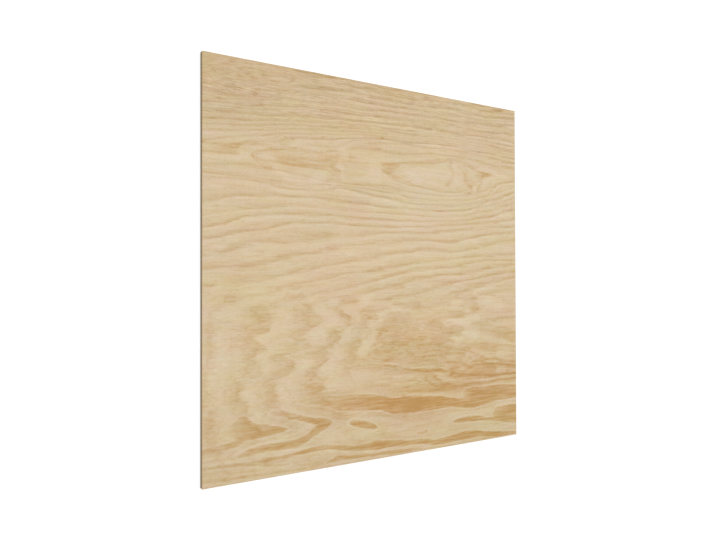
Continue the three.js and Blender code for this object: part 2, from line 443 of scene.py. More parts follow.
# Soft marks, dark where the strength is over 0 and pale where it is below:
# (strength, half width in mm, along, across, along, across, ... of a line of straight pieces).
softMarks = {
    "far left corner": [
        (-0.15, 8, 20, 62, 22, 80, 20, 97), (-0.14, 4, 30, 28, 48, 21, 75, 12),
        (-0.1, 6, 105, 71, 127, 60), (-0.16, 5, 134, 85, 144, 82), (-0.16, 5, 184, 77, 196, 76),
        (0.16, 8, 98, 78, 98, 92), (0.2, 5, 170, 66, 186, 66), (0.14, 8, 190, 24, 196, 42),
        (0.2, 5, 136, 38, 150, 34), (0.2, 5, 176, 40, 188, 36), (0.12, 7, 158, 48, 148, 64),
        (0.1, 7, 28, 46, 82, 47), (0.14, 4, 58, 26, 96, 12), (0.12, 4, 2, 86, 14, 84)],
    "near side": [
        (0.2, 4.5, 0, 1166, 60, 1166, 110, 1168, 150, 1172, 200, 1176, 240, 1176, 262, 1172),
        (0.16, 7, 190, 1174, 212, 1177), (0.12, 5, 60, 1207, 130, 1205),
        (0.12, 5, 340, 1208, 400, 1203, 430, 1200), (0.12, 6, 0, 1128, 60, 1126),
        (0.14, 4.5, 100, 1150, 125, 1146, 150, 1138), (0.1, 7, 262, 1204, 330, 1204),
        (-0.16, 6, 0, 1137, 100, 1133, 150, 1126, 200, 1117, 260, 1106, 320, 1092, 345, 1080),
        (-0.14, 5, 0, 1156, 110, 1154), (-0.16, 6, 165, 1150, 240, 1151, 300, 1149, 340, 1144),
        (-0.16, 5, 400, 1172, 460, 1181, 540, 1190, 620, 1194), (-0.12, 9, 350, 1176, 420, 1180),
        (0.08, 8, 0, 1188, 150, 1190), (0.12, 12, 560, 1062, 640, 1082), (0.1, 9, 420, 1062, 520, 1062)],
    "fine lines of the far side": [
        (0.14, 3.6, 15, 186, 50, 184, 100, 180, 145, 176), (0.09, 3.6, 40, 163, 92, 162),
        (0.11, 3.6, 85, 200, 122, 196), (0.11, 3.6, 60, 110, 100, 108, 130, 105),
        (0.11, 3.6, 100, 117, 180, 118), (0.11, 3.6, 100, 128, 182, 127),
        (0.12, 3.6, 90, 143, 135, 143, 190, 139), (0.14, 3.6, 160, 85, 210, 78, 240, 74, 320, 62),
        (0.12, 3.6, 210, 96, 260, 91, 320, 88), (0.14, 3.6, 400, 131, 480, 131),
        (0.16, 3.6, 380, 112, 450, 112, 490, 116), (0.14, 3.6, 330, 138, 370, 131, 400, 132),
        (0.14, 3.6, 340, 73, 380, 76), (0.18, 4.5, 322, 54, 380, 51, 430, 45), (0.14, 5, 322, 15, 380, 12),
        (0.12, 3.6, 480, 63, 550, 60), (0.14, 3.6, 380, 161, 440, 157, 520, 148, 560, 144),
        (0.12, 3.6, 330, 176, 400, 169, 440, 161), (0.16, 3.6, 490, 196, 540, 190, 600, 180, 612, 175),
        (0.22, 3.6, 610, 141, 660, 138, 750, 134), (0.19, 3.6, 700, 150, 750, 148),
        (0.16, 3.6, 610, 80, 650, 78, 700, 85, 750, 80), (0.22, 3.6, 740, 119, 760, 123, 820, 118),
        (0.22, 3.6, 850, 121, 900, 118, 940, 125, 980, 122, 1080, 113), (0.19, 3.6, 860, 77, 922, 77),
        (0.16, 3.6, 822, 104, 870, 100, 902, 97), (0.19, 4, 1100, 75, 1150, 65, 1200, 58),
        (0.19, 3.6, 960, 106, 1050, 100, 1100, 97, 1200, 90), (0.27, 4, 1040, 25, 1100, 18, 1150, 10),
        (0.22, 3.6, 965, 181, 1000, 175, 1022, 178, 1042, 175), (0.24, 3.6, 1080, 193, 1112, 190),
        (0.24, 3.6, 1090, 143, 1120, 147, 1150, 152, 1205, 153),
        (0.24, 3.6, 1130, 135, 1160, 137, 1205, 137), (0.19, 3.6, 1160, 115, 1192, 118),
        (0.09, 3.6, 20, 105, 60, 103), (0.09, 3.6, 10, 120, 50, 121),
        (0.12, 3.6, 230, 120, 262, 117, 300, 112), (0.12, 3.6, 150, 96, 190, 92),
        (0.14, 3.6, 225, 150, 268, 153), (-0.14, 3.6, 215, 157, 264, 155), (-0.16, 4, 130, 86, 145, 83),
        (-0.14, 4, 270, 90, 318, 88), (-0.12, 3.6, 240, 128, 300, 126), (-0.14, 3.6, 480, 124, 610, 119),
        (-0.16, 3.6, 610, 134, 740, 129), (-0.16, 3.6, 620, 182, 680, 184), (-0.19, 4, 820, 175, 860, 174),
        (-0.19, 3.6, 1140, 143, 1205, 146), (-0.16, 4, 1150, 127, 1200, 129),
        (-0.16, 3.6, 965, 127, 1040, 122), (-0.16, 4, 1000, 95, 1100, 89)],
    "far border": [
        (0.28, 5, 290, 5, 400, 7, 430, 4), (0.34, 4, 1003, 5, 1060, 5), (0.36, 5, 1098, 9, 1160, 6),
        (0.4, 4, 784, 13, 806, 12), (0.25, 4, 808, 25, 822, 23), (0.28, 4, 918, 18, 930, 16),
        (0.18, 10, 480, 8, 490, 26), (0.25, 3.5, 522, 20, 552, 16), (0.2, 3.5, 556, 14, 580, 17),
        (0.14, 7, 618, 12, 652, 15), (0.2, 6, 558, 48, 580, 47), (0.18, 4.5, 586, 42, 608, 40),
        (0.16, 6, 620, 41, 646, 42), (0.14, 9, 728, 40, 746, 30), (0.22, 4.5, 374, 43, 425, 38),
        (-0.16, 9, 380, 20, 425, 24), (-0.09, 9, 300, 34, 345, 29), (-0.14, 12, 530, 28, 548, 42),
        (-0.12, 5, 560, 23, 592, 30), (-0.12, 6, 690, 43, 702, 42), (-0.13, 4, 955, 38, 1012, 30),
        (0.18, 8, 984, 63, 986, 76), (0.13, 9, 1002, 69, 1092, 68), (0.1, 5, 1150, 36, 1220, 32)],
    "small eye": [
        (0.14, 7, 134, 242, 162, 241), (0.15, 13, 250, 284, 390, 285),
        (0.12, 4.5, 225, 280, 300, 272, 335, 267, 405, 267),
        (0.1, 4.5, 225, 290, 300, 295, 350, 292, 400, 290), (0.12, 5, 436, 242, 436, 262),
        (-0.1, 13, 452, 234, 470, 250), (-0.1, 5, 452, 261, 440, 284, 456, 291, 470, 303),
        (-0.09, 5, 452, 312, 468, 326, 490, 336), (0.12, 6, 455, 271, 468, 278),
        (0.12, 5, 438, 318, 450, 322), (0.1, 6, 486, 238, 488, 254),
        (0.12, 4, 443, 299, 452, 309, 453, 326), (0.1, 8, 484, 248, 498, 248),
        (0.08, 9, 110, 313, 205, 315), (-0.14, 14, 230, 305, 258, 338), (-0.12, 10, 105, 288, 138, 288),
        (-0.12, 10, 345, 332, 372, 332), (0.18, 7, 216, 346, 240, 346), (-0.12, 12, 178, 276, 215, 276),
        (0.12, 9, 0, 253, 108, 252), (-0.1, 10, 5, 296, 100, 291), (0.1, 6, 534, 268, 556, 268),
        (-0.1, 7, 300, 311, 362, 312)],
    "big eye": [
        (-0.1, 24, 690, 276, 900, 270),
        (0.24, 5.5, 905, 222, 900, 243, 912, 255, 913, 275, 905, 290, 886, 306),
        (0.16, 6, 874, 306, 894, 306),
        (0.22, 5, 966, 258, 974, 272, 974, 292, 986, 300, 1002, 304, 1004, 317),
        (0.24, 7, 1045, 250, 1072, 253), (0.12, 6, 1075, 252, 1100, 250), (0.18, 5, 1032, 298, 1040, 298),
        (0.18, 5, 1026, 310, 1034, 310), (-0.14, 12, 1010, 268, 1026, 288),
        (-0.12, 11, 1066, 276, 1070, 304), (-0.1, 10, 1085, 270, 1112, 272), (-0.2, 5, 967, 300, 968, 310),
        (-0.2, 6, 1012, 306, 1016, 317), (0.45, 4.5, 978, 328, 992, 327), (-0.12, 8, 918, 232, 920, 250),
        (-0.12, 12, 930, 285, 950, 300)],
    "pale wood of the middle": [
        (-0.12, 8, 120, 461, 200, 459, 300, 456), (-0.12, 11, 35, 545, 65, 545),
        (-0.1, 9, 80, 524, 108, 524), (-0.1, 16, 130, 570, 200, 570), (-0.08, 9, 220, 603, 262, 603),
        (-0.1, 6, 255, 637, 318, 637), (-0.14, 7, 575, 380, 680, 381), (-0.1, 6, 500, 372, 550, 370),
        (-0.14, 8, 684, 460, 738, 458), (-0.1, 5, 600, 540, 640, 533, 745, 525),
        (-0.12, 6, 440, 557, 490, 556), (-0.16, 7, 560, 589, 622, 588), (-0.12, 6, 502, 590, 548, 590),
        (-0.1, 5, 622, 572, 678, 570), (-0.1, 5, 742, 558, 808, 559), (-0.12, 7, 722, 615, 808, 615),
        (-0.1, 5, 630, 565, 680, 558, 810, 550), (-0.16, 10, 972, 500, 1034, 500),
        (-0.12, 8, 1052, 483, 1116, 480), (-0.12, 10, 1125, 520, 1196, 519),
        (-0.1, 10, 1050, 540, 1118, 540), (-0.12, 12, 1130, 399, 1196, 397)],
    "dark wood of the middle": [
        (0.12, 6, 112, 494, 158, 494), (0.1, 13, 275, 505, 405, 503), (0.08, 7, 328, 502, 358, 502),
        (0.1, 7, 118, 608, 198, 607), (0.1, 5, 268, 660, 408, 660), (0.16, 8, 492, 389, 548, 390),
        (0.12, 5, 402, 390, 488, 390), (0.1, 7, 692, 508, 738, 507), (0.12, 13, 402, 495, 436, 495),
        (0.12, 7, 402, 538, 428, 538), (0.12, 5, 752, 535, 808, 535), (0.12, 8, 642, 657, 698, 658),
        (0.1, 6, 802, 535, 884, 535), (0.12, 12, 956, 588, 970, 588), (0.1, 5, 832, 620, 884, 620),
        (0.1, 5, 1120, 615, 1158, 615), (0.06, 8, 1122, 633, 1198, 632)],
    "at the left and right ends": [
        (0.16, 5, 1208, 254, 1220, 262), (0.12, 6, 4, 655, 34, 656), (0.2, 3.5, 6, 657, 34, 655)],
    "above the flames": [
        (0.12, 4, 64, 690, 96, 690), (0.14, 4, 62, 702, 92, 701), (0.14, 12, 458, 702, 502, 700),
        (0.1, 9, 455, 750, 490, 755), (-0.12, 12, 520, 700, 548, 706), (0.14, 7, 265, 684, 320, 692),
        (0.12, 7, 320, 716, 346, 714), (-0.08, 14, 120, 668, 180, 672), (0.1, 5, 376, 676, 400, 678)],
    "flames": [
        (0.1, 12, 150, 730, 175, 755, 172, 778), (0.14, 4, 112, 745, 146, 746),
        (0.1, 9, 155, 840, 165, 840), (0.12, 4, 150, 943, 162, 943), (0.08, 5, 268, 895, 282, 894),
        (0.1, 12, 300, 745, 340, 738), (0.14, 5, 312, 806, 330, 806),
        (0.14, 6, 325, 928, 345, 922, 370, 938), (0.06, 8, 408, 806, 440, 806),
        (0.06, 6, 550, 786, 560, 794), (0.08, 5, 550, 760, 578, 764),
        (0.12, 4, 450, 846, 492, 838, 530, 829), (0.06, 4, 476, 869, 502, 870),
        (0.12, 4, 490, 790, 512, 790), (0.11, 12, 135, 1000, 170, 1018, 215, 1046),
        (0.1, 5, 20, 985, 42, 1000, 60, 1010), (0.1, 5, 30, 965, 50, 975, 86, 996),
        (0.1, 6, 300, 1028, 380, 1036), (0.1, 6, 340, 1012, 400, 1018), (0.1, 5, 355, 985, 392, 992),
        (0.08, 9, 84, 770, 90, 800, 86, 840, 90, 890)],
    "curly grain": [
        (0.17, 8, 748, 728, 762, 728), (0.14, 5, 655, 719, 696, 717), (0.09, 11, 720, 711, 762, 714),
        (0.14, 4.5, 708, 753, 722, 753), (0.14, 8, 826, 756, 844, 754),
        (0.14, 4, 614, 776, 660, 770, 726, 770), (0.2, 4.5, 814, 783, 843, 783),
        (0.15, 6, 590, 800, 626, 806), (0.14, 5, 542, 793, 558, 793), (0.05, 4, 548, 759, 576, 765),
        (0.19, 5, 650, 848, 682, 848), (0.17, 5, 570, 848, 585, 848), (0.13, 5, 583, 820, 602, 817),
        (0.18, 5.5, 640, 888, 674, 886), (0.18, 4.5, 690, 936, 716, 937), (0.12, 4, 555, 871, 592, 868),
        (0.14, 5, 600, 905, 650, 903), (-0.14, 9, 640, 727, 680, 733, 716, 742),
        (-0.12, 8, 600, 776, 606, 755, 626, 747), (-0.09, 9, 560, 783, 588, 774),
        (-0.09, 13, 578, 818, 560, 850, 528, 880), (-0.1, 7, 690, 780, 696, 802),
        (-0.12, 5, 756, 783, 776, 806), (-0.12, 4.5, 680, 832, 702, 828), (-0.14, 5.5, 660, 860, 682, 876),
        (-0.08, 5, 642, 958, 700, 963, 732, 960), (-0.12, 6, 650, 985, 676, 985),
        (-0.12, 4.5, 580, 972, 622, 972), (-0.06, 13, 490, 922, 560, 936, 622, 946),
        (-0.1, 6, 862, 979, 892, 988), (0.16, 5, 880, 925, 920, 930)],
    "fine lines of the curly grain": [
        (0.12, 3.6, 620, 747, 680, 747), (0.12, 3.6, 675, 755, 700, 757, 720, 754),
        (0.1, 5, 638, 765, 662, 765), (0.1, 4, 615, 773, 617, 785),
        (0.15, 4, 690, 780, 700, 787, 710, 793, 716, 800), (0.09, 3.6, 620, 793, 660, 793),
        (0.15, 3.6, 600, 810, 612, 803, 645, 803), (0.1, 3.6, 615, 823, 660, 826),
        (0.14, 3.6, 665, 838, 690, 835, 710, 836, 745, 833, 785, 834), (0.09, 3.6, 620, 853, 640, 852),
        (0.15, 3.6, 690, 850, 720, 847, 745, 845, 765, 845, 785, 840), (0.1, 4, 650, 864, 655, 856),
        (0.1, 3.6, 675, 857, 705, 855), (0.1, 3.6, 680, 865, 720, 867, 740, 865),
        (0.14, 3.6, 745, 862, 790, 860, 812, 857), (0.14, 3.6, 835, 860, 850, 858, 870, 863, 888, 867),
        (0.1, 3.6, 818, 798, 842, 797), (0.1, 3.6, 745, 775, 778, 774, 800, 771, 818, 770),
        (0.09, 3.6, 750, 788, 812, 787), (0.1, 3.6, 745, 811, 762, 811), (0.12, 4, 774, 815, 786, 818),
        (0.1, 3.6, 805, 807, 850, 805, 885, 805), (0.14, 3.6, 780, 835, 812, 835),
        (0.14, 3.6, 840, 835, 872, 836), (0.12, 3.6, 710, 883, 732, 886),
        (0.14, 3.6, 705, 898, 720, 893, 742, 893), (0.1, 3.6, 730, 908, 748, 903),
        (0.1, 3.6, 745, 886, 790, 887), (0.22, 4.5, 745, 900, 780, 900), (0.14, 3.6, 780, 897, 812, 901),
        (0.15, 3.6, 745, 912, 800, 917, 818, 918), (0.17, 4, 815, 886, 845, 884, 862, 888),
        (0.19, 4.5, 815, 897, 850, 897), (0.19, 4, 858, 898, 882, 898), (0.12, 3.6, 855, 910, 882, 914),
        (0.14, 3.6, 815, 917, 838, 917), (0.12, 3.6, 608, 903, 655, 902, 680, 905, 684, 913),
        (0.14, 3.6, 615, 921, 640, 925, 662, 924), (0.1, 3.6, 620, 930, 650, 937, 668, 940),
        (0.09, 3.6, 685, 946, 722, 950), (-0.1, 3.6, 780, 924, 812, 926), (-0.1, 3.6, 745, 893, 790, 893),
        (-0.12, 4, 758, 800, 776, 807), (-0.1, 4, 756, 780, 772, 784), (-0.1, 4, 690, 830, 662, 832),
        (-0.1, 4, 700, 873, 690, 878), (-0.1, 4, 665, 862, 676, 872), (-0.1, 4, 632, 838, 645, 842)],
    "fine lines above the second amber band": [
        (0.14, 4, 950, 865, 990, 869, 1050, 869, 1090, 873), (0.14, 4, 880, 873, 915, 876, 945, 884),
        (0.2, 4.5, 945, 884, 992, 887), (0.2, 4.5, 1100, 885, 1120, 880, 1160, 880, 1190, 885, 1220, 888),
        (0.1, 4, 1050, 893, 1080, 898, 1118, 902), (0.1, 3.6, 885, 894, 960, 898),
        (0.1, 4, 960, 903, 1012, 903), (0.12, 4, 1020, 907, 1040, 912, 1060, 920, 1075, 928),
        (0.22, 4.5, 882, 925, 900, 928, 922, 929), (0.12, 3.6, 922, 929, 960, 936),
        (0.14, 3.6, 1000, 931, 1032, 931), (0.16, 4, 1070, 928, 1120, 933, 1150, 938, 1200, 944),
        (0.26, 4.5, 950, 941, 975, 944, 995, 949, 1012, 944, 1060, 942, 1120, 948, 1150, 951, 1180, 956,
         1220, 960), (0.14, 3.6, 960, 953, 1000, 953, 1030, 956), (0.14, 3.6, 1050, 954, 1120, 957),
        (0.16, 5.5, 1012, 965, 1080, 965, 1112, 962), (0.1, 5, 885, 955, 905, 963, 930, 968, 960, 970),
        (0.14, 4, 870, 971, 890, 977, 922, 980), (0.15, 4, 940, 978, 1000, 978, 1035, 975, 1062, 978),
        (0.22, 5, 1060, 986, 1110, 989, 1150, 987, 1220, 988), (0.16, 4, 1060, 997, 1098, 996, 1116, 991),
        (0.16, 4, 885, 996, 920, 999, 980, 1007, 1038, 1009),
        (0.16, 4, 1080, 1013, 1100, 1008, 1130, 1005, 1170, 1006, 1220, 1003),
        (-0.16, 4, 1130, 997, 1220, 997), (-0.14, 4, 1045, 1002, 1105, 1002),
        (-0.14, 5, 890, 987, 935, 992, 960, 994), (-0.12, 4, 1000, 997, 1048, 996),
        (-0.12, 3.6, 1118, 911, 1152, 911), (-0.12, 4, 1000, 938, 1042, 937),
        (-0.14, 4, 1130, 943, 1165, 947, 1198, 950), (-0.1, 4, 1128, 964, 1162, 963),
        (-0.14, 4.5, 1160, 872, 1210, 880)],
    "fine lines above the curly grain": [
        (0.12, 4.5, 430, 670, 470, 668, 505, 662), (0.12, 4, 400, 680, 432, 679),
        (0.12, 6, 550, 671, 600, 667, 648, 663), (0.2, 5, 655, 660, 690, 664, 700, 663),
        (0.12, 4, 640, 697, 700, 692, 750, 684, 800, 680), (0.16, 5, 622, 704, 645, 704),
        (0.14, 4, 665, 722, 700, 718, 752, 716), (0.14, 4, 560, 741, 600, 742, 614, 738),
        (0.12, 4, 520, 738, 552, 738), (0.16, 4, 550, 763, 566, 764), (0.16, 4, 570, 768, 588, 768),
        (0.14, 5, 440, 750, 482, 757), (0.14, 4, 745, 697, 790, 695), (-0.12, 5, 620, 690, 680, 683),
        (-0.12, 9, 535, 705, 550, 708), (-0.1, 4, 680, 710, 742, 702), (-0.12, 6, 652, 733, 690, 735),
        (-0.1, 7, 560, 690, 602, 688)],
    "fine lines right of the curly grain": [
        (0.12, 4, 1028, 664, 1046, 663), (0.18, 4, 964, 675, 972, 675), (0.14, 4, 898, 684, 925, 680),
        (0.12, 4, 925, 692, 962, 694), (0.22, 4.5, 925, 701, 962, 703),
        (0.16, 4, 1006, 684, 1050, 690, 1080, 693, 1116, 698), (0.14, 4, 985, 695, 1000, 693),
        (0.16, 4, 960, 715, 990, 707, 1010, 703, 1040, 708), (-0.18, 5, 1008, 686, 1014, 688),
        (-0.14, 4, 1018, 674, 1062, 668), (0.12, 4, 1120, 663, 1160, 660, 1202, 656),
        (0.12, 4, 1085, 680, 1116, 677), (0.16, 4, 1148, 710, 1158, 712), (0.12, 4, 1160, 716, 1202, 720),
        (0.14, 4, 820, 722, 862, 720), (0.14, 4.5, 890, 729, 962, 729), (0.14, 4, 858, 745, 886, 745),
        (0.14, 4, 893, 748, 925, 747, 966, 757), (0.14, 4, 1100, 758, 1200, 758),
        (0.12, 4, 850, 770, 960, 768), (0.14, 4, 1080, 783, 1100, 785), (0.2, 4, 1102, 788, 1116, 790),
        (0.22, 4.5, 1118, 781, 1160, 776, 1220, 778), (0.12, 6, 1000, 795, 1040, 794),
        (0.2, 4.5, 1040, 803, 1098, 805), (-0.12, 4, 1084, 790, 1115, 801),
        (0.14, 4, 1120, 815, 1160, 813, 1172, 817), (0.18, 4, 1078, 824, 1112, 827),
        (0.14, 4, 1160, 820, 1196, 822),
        (0.16, 4.5, 905, 804, 948, 804, 962, 814, 945, 823, 920, 827, 890, 827),
        (0.16, 5, 1160, 844, 1180, 846), (0.18, 5, 1190, 864, 1202, 865), (0.12, 4, 1040, 866, 1082, 864),
        (-0.14, 6, 912, 838, 926, 848), (-0.12, 4, 1122, 802, 1182, 803)],
    "shading of the near half": [
        (0.2, 8, 625, 1084, 660, 1089, 700, 1092), (0.14, 8, 700, 1092, 760, 1094, 860, 1090, 930, 1092),
        (0.1, 6, 690, 1110, 760, 1108, 812, 1112), (0.1, 5, 730, 1134, 790, 1130, 860, 1134),
        (0.1, 6, 1010, 1104, 1080, 1097, 1130, 1090, 1200, 1090),
        (0.14, 7, 715, 1012, 770, 1017, 850, 1018), (0.22, 5, 620, 1020, 665, 1022, 700, 1026),
        (0.2, 9, 972, 1082, 1000, 1085), (-0.14, 4, 1055, 1030, 1115, 1028),
        (-0.12, 4, 1030, 1145, 1076, 1148), (0.12, 6, 410, 1001, 490, 998),
        (0.05, 10, 780, 992, 830, 1000), (0.12, 8, 535, 806, 560, 812),
        (0.12, 10, 405, 1186, 460, 1190, 520, 1190), (0.28, 4, 636, 1213, 725, 1214),
        (0.32, 4, 1050, 1212, 1110, 1214, 1170, 1213),
        (0.18, 4, 1070, 788, 1120, 784, 1160, 782, 1212, 787), (0.16, 4, 885, 1073, 905, 1077, 935, 1081),
        (0.16, 4, 1000, 944, 1040, 943, 1100, 944), (0.12, 4, 958, 938, 980, 944, 1000, 950),
        (-0.12, 4, 1000, 996, 1080, 1003, 1110, 998), (0.1, 3.6, 1010, 931, 1060, 929, 1140, 935),
        (0.08, 10, 960, 934, 1020, 938), (-0.16, 7, 1110, 936, 1180, 944), (0.2, 7, 888, 849, 914, 855),
        (0.1, 12, 150, 950, 165, 960), (0.12, 13, 289, 735, 291, 760), (0.1, 8, 320, 870, 350, 878),
        (0.1, 8, 205, 880, 262, 882), (-0.1, 8, 210, 930, 214, 950), (-0.1, 8, 215, 984, 218, 998),
        (-0.1, 5, 170, 785, 200, 780), (-0.08, 8, 90, 940, 115, 942), (-0.18, 8, 0, 1015, 12, 1015),
        (0.1, 8, 0, 855, 14, 855)],
    "between the lines of the far half": [
        (0.18, 5, 0, 255, 60, 257, 120, 250), (0.14, 5, 60, 263, 110, 256, 160, 243),
        (0.1, 4, 185, 212, 300, 208, 420, 204), (0.12, 5, 400, 239, 450, 232),
        (0.1, 6, 490, 247, 560, 238), (0.12, 6, 60, 562, 125, 545), (-0.14, 6, 0, 567, 30, 562),
        (-0.12, 5, 0, 668, 50, 660), (-0.12, 5, 50, 641, 110, 632), (0.12, 5, 95, 612, 160, 605, 235, 598),
        (0.12, 7, 1160, 378, 1215, 374), (0.12, 5, 300, 660, 430, 643, 520, 626, 640, 606),
        (-0.08, 14, 0, 365, 50, 380), (0.08, 7, 1195, 300, 1212, 420), (0.06, 7, 1195, 560, 1212, 640),
        (-0.08, 4, 500, 607, 560, 600, 620, 596), (-0.1, 4, 980, 632, 1060, 622, 1180, 612),
        (0.1, 8, 1190, 252, 1215, 250), (0.08, 12, 750, 150, 830, 152),
        (-0.09, 5, 80, 138, 200, 122, 300, 108), (-0.07, 6, 350, 128, 500, 122),
        (0.12, 5, 0, 284, 60, 284, 105, 279), (0.18, 4, 600, 185, 700, 181, 790, 188),
        (-0.14, 5, 550, 206, 620, 203), (-0.12, 6, 190, 241, 280, 238), (0.12, 5, 405, 318, 450, 324),
        (0.1, 8, 215, 355, 265, 356), (0.09, 7, 85, 410, 145, 418), (-0.2, 4, 920, 93, 1000, 91, 1165, 90),
        (0.12, 9, 440, 262, 520, 268), (-0.1, 5, 320, 459, 440, 460, 560, 459),
        (0.1, 5, 350, 486, 420, 480)],
    "shading right of the curly grain": [
        (0.2, 5, 998, 743, 1050, 745), (0.12, 22, 1118, 836, 1220, 850), (0.12, 15, 1052, 880, 1110, 888),
        (0.1, 10, 850, 752, 900, 754, 962, 765), (0.1, 9, 890, 812, 945, 826),
        (-0.14, 5, 1112, 667, 1050, 672, 1010, 685), (-0.12, 5, 1010, 687, 1040, 697, 1100, 702),
        (-0.1, 16, 1040, 712, 1090, 722, 1150, 735), (-0.14, 14, 965, 766, 1032, 770),
        (-0.12, 10, 868, 777, 930, 785, 986, 795), (-0.18, 18, 965, 830, 1012, 835),
        (-0.16, 8, 910, 842, 950, 851), (-0.14, 14, 1040, 862, 1100, 858, 1150, 868),
        (-0.14, 5, 1140, 868, 1190, 876, 1220, 881), (-0.14, 8, 1000, 890, 1040, 905, 1092, 925),
        (-0.11, 16, 1118, 915, 1200, 920), (-0.14, 6, 890, 737, 940, 738, 986, 749),
        (-0.1, 6, 872, 682, 920, 664)],
}

